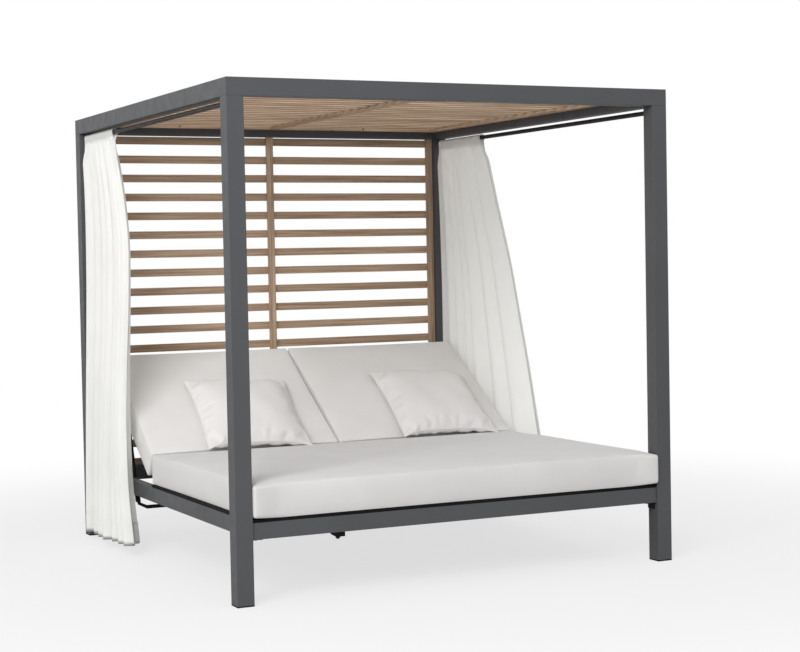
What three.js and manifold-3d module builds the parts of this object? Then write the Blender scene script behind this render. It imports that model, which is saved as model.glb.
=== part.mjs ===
import * as THREE from 'three';
import { mergeVertices } from 'three/addons/utils/BufferGeometryUtils.js';
import Module from 'manifold-3d';

// Outdoor daybed with a slatted canopy. Lengths are in millimetres. +Z is up, -Y is the open front,
// and +X is the right-hand side as seen from the front. The origin is on the floor under the middle.

// Whole frame
const WIDTH = 2000;
const DEPTH = 2130;
const HEIGHT = 2030;
const POST = 70;
const WALL = 2.5;
const BEAM_HEIGHT = 70;
const CAP_THICKNESS = 5;
const CAP_PLUG = 25;
const FIT = 0.3;
const OVERRUN = 10;

// Deck frame under the cushions
const RAIL_TOP = 321;
const RAIL_HEIGHT = 65;
const RAIL_THICKNESS = 40;
const RAIL_RECESS = 8;
const DECK_SLAT = { count: 12, width: 60, thickness: 12, inset: 2 };
const DECK_STRAP = { x: 450, width: 30, thickness: 3 };
const DECK_EDGE_WIDTH = 30;

// Corner brackets under the end rails, one at each post, each with a bolt up into the rail
const BRACKET = { plate: 4, length: 50, drop: 30, reach: 44, inset: 12 };
const BRACKET_BOLT = { shank: 3, head: 6, headHeight: 4, length: 14 };

// Clamp block under the front rail with its round-headed bolt
const CLAMP = { x: -564, width: 51, depth: 30, height: 19, setBack: 4, taper: 16 };
const CLAMP_BOLT = { shank: 4, head: 10, headHeight: 11, length: 14 };

// Canopy and back panel of wooden slats on battens
const SLAT_WIDTH = 38;
const SLAT_THICKNESS = 18;
const ROOF_SLATS = 22;
const BACK_SLATS = 18;
const BATTEN_WIDTH = 35;
const BATTEN_THICKNESS = 18;
const BACK_BATTEN_SETBACK = 2;
const ROOF_SCREW = { x: 500, head: 4, height: 3, shank: 2, length: 16 };

// Curtain rods and their sockets
const ROD_RADIUS = 10;
const ROD_DROP = 24;
const ROD_END_PLAY = 1;
const SOCKET = { radius: 15, length: 12 };
const RUN_CLEARANCE = 0.5;

// Curtains: a sleeve on the rod, and a folded sheet that widens towards the hem
const CLOTH = 4;
const SLEEVE_WALL = 2;
const HEM_HEIGHT = 50;
const HEM_OUTWARD = 30;
const CURTAIN_PLAY = 8;
const LEFT_TOP_WIDTH = 462;
const RIGHT_TOP_WIDTH = 454;
const COLUMNS_PER_FOLD = 6;
const FOLD_DEPTH_TOP = 4;
const FOLD_DEPTH_HEM = 46;
const FOLD_DEPTH_SHARES = [[0, 0], [0.03, 0.6], [0.4, 0.65], [1, 1]];
const LEFT_WIDTH_SHARES = [[0, 1], [0.14, 1.26], [0.265, 1.42], [0.41, 1.41], [0.6, 1.315],
  [0.72, 1.29], [0.87, 1.34], [1, 1.53]];
const RIGHT_WIDTH_SHARES = [[0, 1], [0.064, 1.154], [0.147, 1.28], [0.352, 1.612], [0.514, 1.791],
  [0.638, 1.947], [0.759, 2.081], [1, 2.33]];
// Where each fold starts across the curtain, and how deep the folds are there, from rear to front
const LEFT_FOLD_SHARES = [[0.25, 0], [7.25, 1]];
const RIGHT_FOLD_SHARES = [[0, 0], [1, 0.1], [2, 0.2], [3, 0.31], [4, 0.43], [5, 0.63], [6, 0.8],
  [6.75, 1]];
const LEFT_DEPTH_SHARES = [[0, 1], [0.15, 1], [0.3, 0.35], [0.7, 0.35], [0.82, 0.8], [1, 1]];
const RIGHT_DEPTH_SHARES = [[0, 0.65], [0.43, 0.65], [0.63, 1], [1, 1]];
const ROW_SHARES = [0, 0.03, 0.14, 0.265, 0.41, 0.6, 0.72, 0.87, 1];

// Seat mattress
const MATTRESS = { thickness: 132, frontInset: 0, sideGap: 2, crown: 8, drawIn: 6, edge: 22 };

// Backrests: a tube frame on two hinge bolts, and a cushion that slips along it
const RECLINE = THREE.MathUtils.degToRad(33.5);
const HINGE_BEHIND_SEAT = 43;
const FRAME_TUBE = 25;
const FRAME_WALL = 1.5;
const FRAME_SIDE_GAP = 30;
const FRAME_OVERHANG = 22.5;
const FRAME_FRONT = 25;
const FRAME_BARS = 6;
const LUG = { thickness: 5, radius: 14 };
const HINGE_ROD = { radius: 5, collar: 9, nut: 9, nutHeight: 6 };
const BACK_CUSHION = { thickness: 127, length: 763, gap: 2.5, split: 3, crown: 10, drawIn: 6, edge: 26 };
const PANEL_CLEARANCE = 48.5;
const REST_TAB = { length: 30, height: 12, reach: 44, fromRear: 60 };

// Props: U-shaped tubes hung from the backrest frames, with pegs that run in slotted guide plates
const PROP = { radius: 9, pivot: 632, length: 514, bend: 40, lean: THREE.MathUtils.degToRad(19) };
const PROP_OFFSET = 18;
const PROP_END = 7;
const SHOE = { radius: 12.5, from: 375, to: 486 };
const PEG = { radius: 5, fromPivot: 395 };
const GUIDE = { thickness: 5, margin: 10, strip: 22, samples: 8 };
const PROP_ROD = { radius: 4, head: 8, headHeight: 3 };

// Scatter pillows
const PILLOW = { width: 505, height: 505, front: 80, back: 24, drawIn: 26, lowerEdge: -33 };
const PILLOW_LEFT = { offset: 64, tilt: THREE.MathUtils.degToRad(-4) };
const PILLOW_RIGHT = { offset: 116, tilt: THREE.MathUtils.degToRad(-2.5) };
const REST_GAP = 0.3;

// Places that several pieces share
const postInner = WIDTH / 2 - POST;
const bayDepth = DEPTH - 2 * POST;
const beamBottom = HEIGHT - BEAM_HEIGHT;
const railBottom = RAIL_TOP - RAIL_HEIGHT;
const railOuterY = DEPTH / 2 - RAIL_RECESS;
const railInnerY = railOuterY - RAIL_THICKNESS;
const railInnerX = postInner - RAIL_THICKNESS;
const bearerHalf = RAIL_THICKNESS / 2;
const deckTop = RAIL_TOP + DECK_SLAT.thickness;
const seatFront = -DEPTH / 2 + MATTRESS.frontInset;
const backBattenY = railInnerY + BACK_BATTEN_SETBACK;
const seatRear = backBattenY - PANEL_CLEARANCE - BACK_CUSHION.length - BACK_CUSHION.gap;
const mattressLength = seatRear - seatFront;
const hingeY = seatRear + HINGE_BEHIND_SEAT;
const hingeZ = RAIL_TOP - RAIL_HEIGHT / 2;
const rodX = WIDTH / 2 - POST / 2;
const rodZ = beamBottom - ROD_DROP;

// Finishes
const ALUMINIUM = { color: 0x55565a, roughness: 0.5, metalness: 0.3 };
const STEEL = { color: 0x17171a, roughness: 0.45, metalness: 0.4 };
const PLASTIC = { color: 0x141414, roughness: 0.6, metalness: 0 };
const WOOD = { color: 0xb2947a, roughness: 0.65, metalness: 0 };
const CANVAS = { color: 0xd9d6d1, roughness: 0.95, metalness: 0 };
const VOILE = { color: 0xf3f3ef, roughness: 0.95, metalness: 0 };

const wasm = await Module();
wasm.setup();

const daybed = new THREE.Group();

function piece(name, geometry, finish, parent = daybed) {
  const mesh = new THREE.Mesh(geometry, new THREE.MeshStandardMaterial(finish));
  mesh.name = name;
  parent.add(mesh);
  return mesh;
}

function solidOf(geometry) {
  const plain = geometry.clone();
  plain.deleteAttribute('normal');
  plain.deleteAttribute('uv');
  const merged = mergeVertices(plain);
  return new wasm.Manifold(new wasm.Mesh({
    numProp: 3,
    vertProperties: Float32Array.from(merged.attributes.position.array),
    triVerts: Uint32Array.from(merged.index.array),
  }));
}

function geometryOf(solid) {
  const mesh = solid.getMesh();
  const geometry = new THREE.BufferGeometry();
  geometry.setAttribute('position', new THREE.BufferAttribute(mesh.vertProperties, 3));
  geometry.setIndex(new THREE.BufferAttribute(mesh.triVerts, 1));
  geometry.computeVertexNormals();
  return geometry;
}

function joined(...geometries) {
  return geometryOf(geometries.map(solidOf).reduce((whole, next) => whole.add(next)));
}

function cut(geometry, ...tools) {
  return geometryOf(tools.map(solidOf).reduce((whole, tool) => whole.subtract(tool), solidOf(geometry)));
}

function block([x0, x1], [y0, y1], [z0, z1]) {
  const box = new THREE.BoxGeometry(Math.abs(x1 - x0), Math.abs(y1 - y0), Math.abs(z1 - z0));
  return box.translate((x0 + x1) / 2, (y0 + y1) / 2, (z0 + z1) / 2);
}

// A round bar between two places on one axis, at a point given on the other two axes.
function bar(axis, [from, to], at, radius, sides = 12) {
  const cylinder = new THREE.CylinderGeometry(radius, radius, Math.abs(to - from), sides);
  if (axis === 'x') cylinder.rotateZ(Math.PI / 2);
  if (axis === 'z') cylinder.rotateX(Math.PI / 2);
  const middle = (from + to) / 2;
  if (axis === 'x') return cylinder.translate(middle, at[0], at[1]);
  if (axis === 'y') return cylinder.translate(at[0], middle, at[1]);
  return cylinder.translate(at[0], at[1], middle);
}

// A square or flat tube, open at both ends, with its bore along the named axis.
function boxTube(axis, xs, ys, zs) {
  const shrink = ([low, high]) => [low + WALL, high - WALL];
  const through = ([low, high]) => [low - OVERRUN, high + OVERRUN];
  return cut(block(xs, ys, zs), block(
    axis === 'x' ? through(xs) : shrink(xs),
    axis === 'y' ? through(ys) : shrink(ys),
    axis === 'z' ? through(zs) : shrink(zs),
  ));
}

function both(side, near, far) {
  return side < 0 ? [-far, -near] : [near, far];
}

// Reads a table of [share, value] pairs at one share.
function along(shares, t) {
  const next = shares.findIndex(([share]) => share >= t);
  if (next <= 0) return shares[Math.max(next, 0)][1];
  const [[t0, v0], [t1, v1]] = [shares[next - 1], shares[next]];
  return v0 + (v1 - v0) * (t - t0) / (t1 - t0);
}

// Posts: square tubes that stand on plugged foot caps and carry the beams.
const corners = [['front_left', -1, -1], ['front_right', 1, -1], ['back_left', -1, 1], ['back_right', 1, 1]];

function postAt(sideX, sideY) {
  const xs = both(sideX, postInner, WIDTH / 2);
  const ys = both(sideY, bayDepth / 2, DEPTH / 2);
  return boxTube('z', xs, ys, [CAP_THICKNESS, beamBottom]);
}

function footCap(sideX, sideY) {
  const plugIn = WALL + FIT;
  const foot = [both(sideX, postInner, WIDTH / 2), both(sideY, bayDepth / 2, DEPTH / 2)];
  const plate = block(...foot, [0, CAP_THICKNESS]);
  const plug = block(
    both(sideX, postInner + plugIn, WIDTH / 2 - plugIn),
    both(sideY, bayDepth / 2 + plugIn, DEPTH / 2 - plugIn),
    [CAP_THICKNESS / 2, CAP_THICKNESS + CAP_PLUG],
  );
  return joined(plate, plug);
}

for (const [name, sideX, sideY] of corners) {
  piece(`post_${name}`, postAt(sideX, sideY), ALUMINIUM);
  piece(`foot_cap_${name}`, footCap(sideX, sideY), PLASTIC);
}

// Beams: flat tubes with mitred ends that meet over the posts.
function mitredPlan(halfLength, inset, trim) {
  const outer = halfLength - inset - trim;
  const inner = halfLength - POST + inset - trim;
  const plan = new THREE.Shape();
  plan.moveTo(-outer, -POST / 2 + inset);
  plan.lineTo(outer, -POST / 2 + inset);
  plan.lineTo(inner, POST / 2 - inset);
  plan.lineTo(-inner, POST / 2 - inset);
  return plan;
}

function beamOf(halfLength) {
  const shell = new THREE.ExtrudeGeometry(mitredPlan(halfLength, 0, FIT / 2), {
    depth: BEAM_HEIGHT, bevelEnabled: false,
  });
  const bore = new THREE.ExtrudeGeometry(mitredPlan(halfLength, WALL, -OVERRUN), {
    depth: BEAM_HEIGHT - 2 * WALL, bevelEnabled: false,
  });
  return cut(shell, bore.translate(0, 0, WALL));
}

const beams = [
  ['beam_front', WIDTH / 2, 0, -DEPTH / 2 + POST / 2, 0],
  ['beam_back', WIDTH / 2, 0, DEPTH / 2 - POST / 2, Math.PI],
  ['beam_left', DEPTH / 2, -WIDTH / 2 + POST / 2, 0, -Math.PI / 2],
  ['beam_right', DEPTH / 2, WIDTH / 2 - POST / 2, 0, Math.PI / 2],
];
for (const [name, halfLength, x, y, turn] of beams) {
  const beam = piece(name, beamOf(halfLength), ALUMINIUM);
  beam.position.set(x, y, beamBottom);
  beam.rotation.z = turn;
}

// Deck frame: end rails between the posts, side rails and a centre bearer between the end rails.
const railHeights = [railBottom, RAIL_TOP];

function bracketBoltAt(sideX, sideY) {
  const x = sideX * (postInner - BRACKET.plate - BRACKET.reach / 2);
  return [x, sideY * (railOuterY - BRACKET.inset - BRACKET.length / 2)];
}

function bracketHole(sideX, sideY) {
  const height = [railBottom - BRACKET.plate - OVERRUN, railBottom + WALL + OVERRUN];
  return bar('z', height, bracketBoltAt(sideX, sideY), BRACKET_BOLT.shank + FIT);
}

function endRail(sideY) {
  const tube = boxTube('x', [-postInner, postInner], both(sideY, railInnerY, railOuterY), railHeights);
  return cut(tube, bracketHole(-1, sideY), bracketHole(1, sideY));
}

function sideRail(side) {
  const tube = boxTube('y', both(side, railInnerX, postInner), [-railInnerY, railInnerY], railHeights);
  const hole = both(side, railInnerX - OVERRUN, railInnerX + WALL + OVERRUN);
  return cut(tube, bar('x', hole, [hingeY, hingeZ], HINGE_ROD.radius + FIT));
}

function centreBearer() {
  const tube = boxTube('y', [-bearerHalf, bearerHalf], [-railInnerY, railInnerY], railHeights);
  const hole = [-bearerHalf - OVERRUN, bearerHalf + OVERRUN];
  return cut(tube, bar('x', hole, [hingeY, hingeZ], HINGE_ROD.radius + FIT));
}

const clampFront = -railOuterY + CLAMP.setBack;
const clampHole = bar('z', [railBottom - OVERRUN, railBottom + WALL + OVERRUN],
  [CLAMP.x, clampFront + CLAMP.depth / 2], CLAMP_BOLT.shank + FIT);
piece('rail_front', cut(endRail(-1), clampHole), ALUMINIUM);
piece('rail_back', endRail(1), ALUMINIUM);
piece('rail_left', sideRail(-1), ALUMINIUM);
piece('rail_right', sideRail(1), ALUMINIUM);
piece('centre_bearer', centreBearer(), ALUMINIUM);

// Slats across the rails that carry the mattress, riveted on two straps, with a strip along each side.
function deckSlats() {
  const first = -railOuterY + DECK_SLAT.inset;
  const last = seatRear - DECK_SLAT.inset - DECK_SLAT.width;
  const pitch = (last - first) / (DECK_SLAT.count - 1);
  const slatEnd = postInner - DECK_SLAT.inset;
  const gapEnd = slatEnd - DECK_EDGE_WIDTH;
  const gaps = [];
  for (let i = 0; i < DECK_SLAT.count - 1; i += 1) {
    const y = first + i * pitch;
    gaps.push(block([-gapEnd, gapEnd], [y + DECK_SLAT.width, y + pitch],
      [RAIL_TOP - OVERRUN, deckTop + OVERRUN]));
  }
  const slats = cut(block([-slatEnd, slatEnd], [first, last + DECK_SLAT.width], [RAIL_TOP, deckTop]),
    ...gaps);
  const straps = [-1, 1].map((side) => block(both(side, DECK_STRAP.x, DECK_STRAP.x + DECK_STRAP.width),
    [-railInnerY + FIT, last + DECK_SLAT.width / 2], [RAIL_TOP - DECK_STRAP.thickness, RAIL_TOP]));
  return joined(slats, ...straps);
}
piece('deck_slats', deckSlats(), STEEL);

// Angle brackets, welded to the posts, that the end rails are bolted down on.
function cornerBracket(sideX, sideY) {
  const ys = both(sideY, railOuterY - BRACKET.inset - BRACKET.length, railOuterY - BRACKET.inset);
  const wall = block(both(sideX, postInner - BRACKET.plate, postInner), ys,
    [railBottom - BRACKET.drop, railBottom]);
  const shelf = block(both(sideX, postInner - BRACKET.plate - BRACKET.reach, postInner - BRACKET.plate / 2),
    ys, [railBottom - BRACKET.plate, railBottom]);
  return cut(joined(wall, shelf), bracketHole(sideX, sideY));
}

function bracketBolt(sideX, sideY) {
  const at = bracketBoltAt(sideX, sideY);
  const under = railBottom - BRACKET.plate;
  return joined(
    bar('z', [under - BRACKET_BOLT.headHeight, under], at, BRACKET_BOLT.head),
    bar('z', [under - BRACKET_BOLT.headHeight / 2, under + BRACKET_BOLT.length], at, BRACKET_BOLT.shank, 8),
  );
}

for (const [name, sideX, sideY] of corners) {
  piece(`rail_bracket_${name}`, cornerBracket(sideX, sideY), STEEL);
  piece(`bracket_bolt_${name}`, bracketBolt(sideX, sideY), STEEL);
}

// Clamp block under the front rail, tapered at one end, and its bolt.
function clampBlock() {
  const half = CLAMP.width / 2;
  const profile = new THREE.Shape();
  profile.moveTo(-half, 0);
  profile.lineTo(-half, -CLAMP.height / 2);
  profile.lineTo(-half + CLAMP.taper, -CLAMP.height);
  profile.lineTo(half, -CLAMP.height);
  profile.lineTo(half, 0);
  const body = new THREE.ExtrudeGeometry(profile, { depth: CLAMP.depth, bevelEnabled: false });
  body.rotateX(Math.PI / 2).translate(CLAMP.x, clampFront + CLAMP.depth, railBottom);
  return cut(body, bar('z', [railBottom - CLAMP.height - OVERRUN, railBottom + OVERRUN],
    [CLAMP.x, clampFront + CLAMP.depth / 2], CLAMP_BOLT.shank + FIT));
}

function clampBolt() {
  const at = [CLAMP.x, clampFront + CLAMP.depth / 2];
  const under = railBottom - CLAMP.height;
  const head = new THREE.LatheGeometry([
    new THREE.Vector2(0, -CLAMP_BOLT.headHeight),
    new THREE.Vector2(CLAMP_BOLT.head * 0.6, -CLAMP_BOLT.headHeight * 0.8),
    new THREE.Vector2(CLAMP_BOLT.head, -CLAMP_BOLT.headHeight * 0.3),
    new THREE.Vector2(CLAMP_BOLT.head, 0),
    new THREE.Vector2(0, 0),
  ], 16).rotateX(Math.PI / 2).translate(at[0], at[1], under);
  const shank = bar('z', [under - CLAMP_BOLT.headHeight / 2, railBottom + CLAMP_BOLT.length], at,
    CLAMP_BOLT.shank);
  return joined(head, shank);
}
piece('clamp_block', clampBlock(), PLASTIC);
piece('clamp_bolt', clampBolt(), STEEL);

// Canopy: slats flush with the top of the beams. They are fixed on a batten down the middle and one
// along each end, and rest on a batten along each side beam.
const roofSlatBottom = HEIGHT - SLAT_THICKNESS;
const roofBatten = [roofSlatBottom - BATTEN_THICKNESS, roofSlatBottom];
const sideBattens = {
  left: [-postInner, -postInner + BATTEN_WIDTH],
  right: [postInner - BATTEN_WIDTH, postInner],
};
const screwZ = (roofBatten[0] + roofBatten[1]) / 2;
const screwY = bayDepth / 2 - BATTEN_WIDTH;

function roofPanel() {
  const pitch = (bayDepth - SLAT_WIDTH) / (ROOF_SLATS - 1);
  const endReach = postInner - BATTEN_WIDTH - FIT;
  const pieces = [
    block([-BATTEN_WIDTH / 2, BATTEN_WIDTH / 2], [-bayDepth / 2, bayDepth / 2], roofBatten),
    block([-endReach, endReach], [-bayDepth / 2, -bayDepth / 2 + BATTEN_WIDTH], roofBatten),
    block([-endReach, endReach], [bayDepth / 2 - BATTEN_WIDTH, bayDepth / 2], roofBatten),
  ];
  for (let i = 0; i < ROOF_SLATS; i += 1) {
    const y = -bayDepth / 2 + i * pitch;
    pieces.push(block([-postInner, postInner], [y, y + SLAT_WIDTH], [roofSlatBottom, HEIGHT]));
  }
  const screwHole = (x) => bar('y', [screwY - OVERRUN, screwY + ROOF_SCREW.length + FIT], [x, screwZ],
    ROOF_SCREW.shank + FIT, 8);
  return cut(joined(...pieces), screwHole(-ROOF_SCREW.x), screwHole(ROOF_SCREW.x));
}

function roofScrew(side) {
  const at = [side * ROOF_SCREW.x, screwZ];
  return joined(
    bar('y', [screwY - ROOF_SCREW.height, screwY], at, ROOF_SCREW.head),
    bar('y', [screwY - ROOF_SCREW.height / 2, screwY + ROOF_SCREW.length], at, ROOF_SCREW.shank, 8),
  );
}
piece('roof_panel', roofPanel(), WOOD);
piece('roof_screw_left', roofScrew(-1), STEEL);
piece('roof_screw_right', roofScrew(1), STEEL);
for (const [name, xs] of Object.entries(sideBattens)) {
  piece(`roof_batten_${name}`, block(xs, [-bayDepth / 2, bayDepth / 2], roofBatten), WOOD);
}

// Back panel: slats fixed behind an upright batten in the middle, from the back rail up to the beam,
// with one more upright batten at each side.
const backSlatY = backBattenY + BATTEN_THICKNESS;

function backPanel() {
  const pitch = (beamBottom - RAIL_TOP - SLAT_WIDTH) / (BACK_SLATS - 1);
  const pieces = [
    block([-BATTEN_WIDTH / 2, BATTEN_WIDTH / 2], [backBattenY, backSlatY], [RAIL_TOP, beamBottom]),
  ];
  for (let i = 0; i < BACK_SLATS; i += 1) {
    const z = RAIL_TOP + i * pitch;
    const ys = [backSlatY, backSlatY + SLAT_THICKNESS];
    pieces.push(block([-postInner, postInner], ys, [z, z + SLAT_WIDTH]));
  }
  return joined(...pieces);
}
piece('back_panel', backPanel(), WOOD);
for (const [name, xs] of Object.entries(sideBattens)) {
  piece(`back_batten_${name}`, block(xs, [backBattenY, backSlatY], [RAIL_TOP, beamBottom]), WOOD);
}

// Curtain rods between the posts, each end in a cup on the post's face.
const rodEnd = bayDepth / 2 - ROD_END_PLAY;

function rodSocket(side, sideY) {
  const face = bayDepth / 2;
  const cup = bar('y', both(sideY, face - SOCKET.length, face), [side * rodX, rodZ], SOCKET.radius, 16);
  const bore = bar('y', both(sideY, face - SOCKET.length - OVERRUN, rodEnd + FIT), [side * rodX, rodZ],
    ROD_RADIUS + FIT);
  return cut(cup, bore);
}

function rod(side) {
  return bar('y', [-rodEnd, rodEnd], [side * rodX, rodZ], ROD_RADIUS);
}
piece('curtain_rod_left', rod(-1), STEEL);
piece('curtain_rod_right', rod(1), STEEL);
for (const [name, sideX, sideY] of corners) {
  piece(`rod_socket_${name}`, rodSocket(sideX, sideY), STEEL);
}

// A curtain is one wavy sheet. Each row is a wave along Y, wider and deeper towards the hem. The cloth
// is the same length all across, so where it spreads to the front its hem rises.
const curtainRear = bayDepth / 2 - SOCKET.length - CURTAIN_PLAY;
const sheetTop = rodZ - ROD_RADIUS - RUN_CLEARANCE - SLEEVE_WALL / 2;
const curtains = {
  left: [-1, LEFT_TOP_WIDTH, LEFT_WIDTH_SHARES, LEFT_FOLD_SHARES, LEFT_DEPTH_SHARES],
  right: [1, RIGHT_TOP_WIDTH, RIGHT_WIDTH_SHARES, RIGHT_FOLD_SHARES, RIGHT_DEPTH_SHARES],
};

function curtainPoint([side, topWidth, widths, folds, depths], t, fold) {
  const s = along(folds, fold);
  const down = FOLD_DEPTH_TOP + (FOLD_DEPTH_HEM - FOLD_DEPTH_TOP) * along(FOLD_DEPTH_SHARES, t);
  const across = along(depths, s);
  const depth = down * (across + (1 - across) * t * t);
  const spread = topWidth * (along(widths, 1) - 1) * s;
  const drop = Math.sqrt((sheetTop - HEM_HEIGHT) ** 2 - spread ** 2);
  return new THREE.Vector3(
    side * (rodX + HEM_OUTWARD * t) - depth * Math.cos(2 * Math.PI * fold),
    curtainRear - topWidth * along(widths, t) * s,
    sheetTop - drop * t,
  );
}

function curtainSheet(form) {
  const folds = form[3];
  const [first, last] = [folds[0][0], folds[folds.length - 1][0]];
  const columns = Math.round((last - first) * COLUMNS_PER_FOLD);
  const step = (last - first) / columns / 4;
  const positions = [];
  for (const face of [1, -1]) {
    for (const t of ROW_SHARES) {
      for (let c = 0; c <= columns; c += 1) {
        const fold = first + (last - first) * c / columns;
        const before = curtainPoint(form, t, Math.max(first, fold - step));
        const after = curtainPoint(form, t, Math.min(last, fold + step));
        const normal = new THREE.Vector3(after.y - before.y, before.x - after.x, 0).normalize();
        const point = curtainPoint(form, t, fold).addScaledVector(normal, face * CLOTH / 2);
        positions.push(point.x, point.y, point.z);
      }
    }
  }
  return sheetSolid(positions, ROW_SHARES.length, columns + 1);
}

// Closes two matching grids of points into one solid. The first grid faces along +X of a row.
function sheetSolid(positions, rows, columns) {
  const index = [];
  const id = (face, r, c) => face * rows * columns + r * columns + c;
  const quad = (a, b, c, d) => index.push(a, b, c, a, c, d);
  for (let r = 0; r < rows - 1; r += 1) {
    for (let c = 0; c < columns - 1; c += 1) {
      quad(id(0, r, c), id(0, r, c + 1), id(0, r + 1, c + 1), id(0, r + 1, c));
      quad(id(1, r, c), id(1, r + 1, c), id(1, r + 1, c + 1), id(1, r, c + 1));
    }
  }
  for (let r = 0; r < rows - 1; r += 1) {
    const last = columns - 1;
    quad(id(0, r, 0), id(0, r + 1, 0), id(1, r + 1, 0), id(1, r, 0));
    quad(id(0, r, last), id(1, r, last), id(1, r + 1, last), id(0, r + 1, last));
  }
  for (let c = 0; c < columns - 1; c += 1) {
    const last = rows - 1;
    quad(id(0, 0, c), id(1, 0, c), id(1, 0, c + 1), id(0, 0, c + 1));
    quad(id(0, last, c), id(0, last, c + 1), id(1, last, c + 1), id(1, last, c));
  }
  const geometry = new THREE.BufferGeometry();
  geometry.setAttribute('position', new THREE.Float32BufferAttribute(positions, 3));
  geometry.setIndex(index);
  return geometry;
}

function flipped(geometry) {
  const index = Array.from(geometry.index.array);
  for (let i = 0; i < index.length; i += 3) {
    [index[i + 1], index[i + 2]] = [index[i + 2], index[i + 1]];
  }
  const copy = geometry.clone();
  copy.setIndex(index);
  return copy;
}

// The sign of a closed mesh's volume tells whether its faces point out.
function outward(geometry) {
  const at = geometry.attributes.position;
  const corner = (i) => new THREE.Vector3().fromBufferAttribute(at, geometry.index.array[i]);
  let volume = 0;
  for (let i = 0; i < geometry.index.count; i += 3) {
    volume += corner(i).dot(corner(i + 1).cross(corner(i + 2)));
  }
  return volume < 0 ? flipped(geometry) : geometry;
}

function curtain(form) {
  const [side, topWidth] = form;
  const sleeve = bar('y', [curtainRear - topWidth, curtainRear], [side * rodX, rodZ],
    ROD_RADIUS + RUN_CLEARANCE + SLEEVE_WALL, 12);
  const bore = bar('y', [curtainRear - topWidth - OVERRUN, curtainRear + OVERRUN], [side * rodX, rodZ],
    ROD_RADIUS + RUN_CLEARANCE, 12);
  const sheet = outward(curtainSheet(form));
  return cut(joined(sleeve, sheet), bore);
}
for (const [name, form] of Object.entries(curtains)) {
  piece(`curtain_${name}`, curtain(form), VOILE);
}

// Padded forms. A grid of points over the plan is raised to a top and a bottom face, which meet on
// the ring of the seam. rise(u, v) gives the share of the full height, and the sides are drawn in.
function paddedForm({ width, depth, top, bottom, crown, drawIn, rise, lines }) {
  const [xs, ys] = [lines(width), lines(depth)];
  const positions = [];
  const last = [xs.length - 1, ys.length - 1];
  const point = (i, j, face) => {
    const [u, v] = [2 * xs[i] / width, 2 * ys[j] / depth];
    const [inX, inY] = [drawIn * 2 / width * (1 - v * v), drawIn * 2 / depth * (1 - u * u)];
    const height = face > 0
      ? top * rise(xs[i], width) * rise(ys[j], depth) + crown * (1 - u * u) * (1 - v * v)
      : -bottom * rise(xs[i], width) * rise(ys[j], depth);
    positions.push(xs[i] * (1 - inX), ys[j] * (1 - inY), height);
    return positions.length / 3 - 1;
  };
  const upper = xs.map((x, i) => ys.map((y, j) => point(i, j, 1)));
  const onSeam = (i, j) => i === 0 || j === 0 || i === last[0] || j === last[1];
  const lower = xs.map((x, i) => ys.map((y, j) => (onSeam(i, j) ? upper[i][j] : point(i, j, -1))));
  const index = [];
  for (let i = 0; i < last[0]; i += 1) {
    for (let j = 0; j < last[1]; j += 1) {
      index.push(upper[i][j], upper[i + 1][j], upper[i + 1][j + 1]);
      index.push(upper[i][j], upper[i + 1][j + 1], upper[i][j + 1]);
      index.push(lower[i][j], lower[i + 1][j + 1], lower[i + 1][j]);
      index.push(lower[i][j], lower[i][j + 1], lower[i + 1][j + 1]);
    }
  }
  const geometry = new THREE.BufferGeometry();
  geometry.setAttribute('position', new THREE.Float32BufferAttribute(positions, 3));
  geometry.setIndex(index);
  return geometry;
}

// Boxed cushion: the face rises to its full height over a rounded edge.
const EDGE_SHARES = [0, 0.03, 0.2, 0.55, 1];
const BOXED = 4;

function edgeRise(edge) {
  return (x, size) => {
    const inset = Math.min(1, (size / 2 - Math.abs(x)) / edge);
    return (1 - (1 - inset) ** BOXED) ** (1 / BOXED);
  };
}

function edgeLines(edge, spans) {
  return (size) => {
    const left = EDGE_SHARES.map((share) => share * edge - size / 2);
    const inner = [];
    for (let i = 1; i < spans; i += 1) inner.push((size / 2 - edge) * (2 * i / spans - 1));
    return [...left, ...inner, ...left.map((x) => -x).reverse()];
  };
}

function boxCushion({ width, depth, thickness, crown, drawIn, edge }) {
  return paddedForm({
    width, depth, top: thickness / 2, bottom: thickness / 2, crown, drawIn,
    rise: edgeRise(edge), lines: edgeLines(edge, 6),
  });
}

// Seat mattress: it fills the bay between the posts in front of the hinges.
const mattress = boxCushion({
  width: 2 * (postInner - MATTRESS.sideGap), depth: mattressLength, thickness: MATTRESS.thickness,
  crown: MATTRESS.crown, drawIn: MATTRESS.drawIn, edge: MATTRESS.edge,
});
mattress.translate(0, (seatFront + seatRear) / 2, deckTop + FIT + MATTRESS.thickness / 2);
piece('seat_mattress', mattress, CANVAS);

// Backrests. Pieces that tip with a backrest are drawn as it lies flat, with the hinge as origin.
const frameTop = deckTop - hingeZ;
const frameHeights = [frameTop - FRAME_TUBE, frameTop];
const frameOuter = railInnerX - FRAME_SIDE_GAP;
const frameInner = bearerHalf + FRAME_SIDE_GAP;
const cushionBottom = frameTop + FIT;
const cushionTop = cushionBottom + BACK_CUSHION.thickness;
const flatStart = BACK_CUSHION.gap - HINGE_BEHIND_SEAT;
const frameLength = flatStart + BACK_CUSHION.length - FRAME_OVERHANG;
const raisedStart = (flatStart + cushionTop * Math.sin(RECLINE)) / Math.cos(RECLINE);
const frameMiddle = frameTop - FRAME_TUBE / 2;

function hingeLug(x0, x1) {
  const strip = block([x0, x1], [-LUG.radius, LUG.radius + FRAME_FRONT], [0, frameHeights[1]]);
  return joined(bar('x', [x0, x1], [0, 0], LUG.radius, 16), strip);
}

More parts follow.
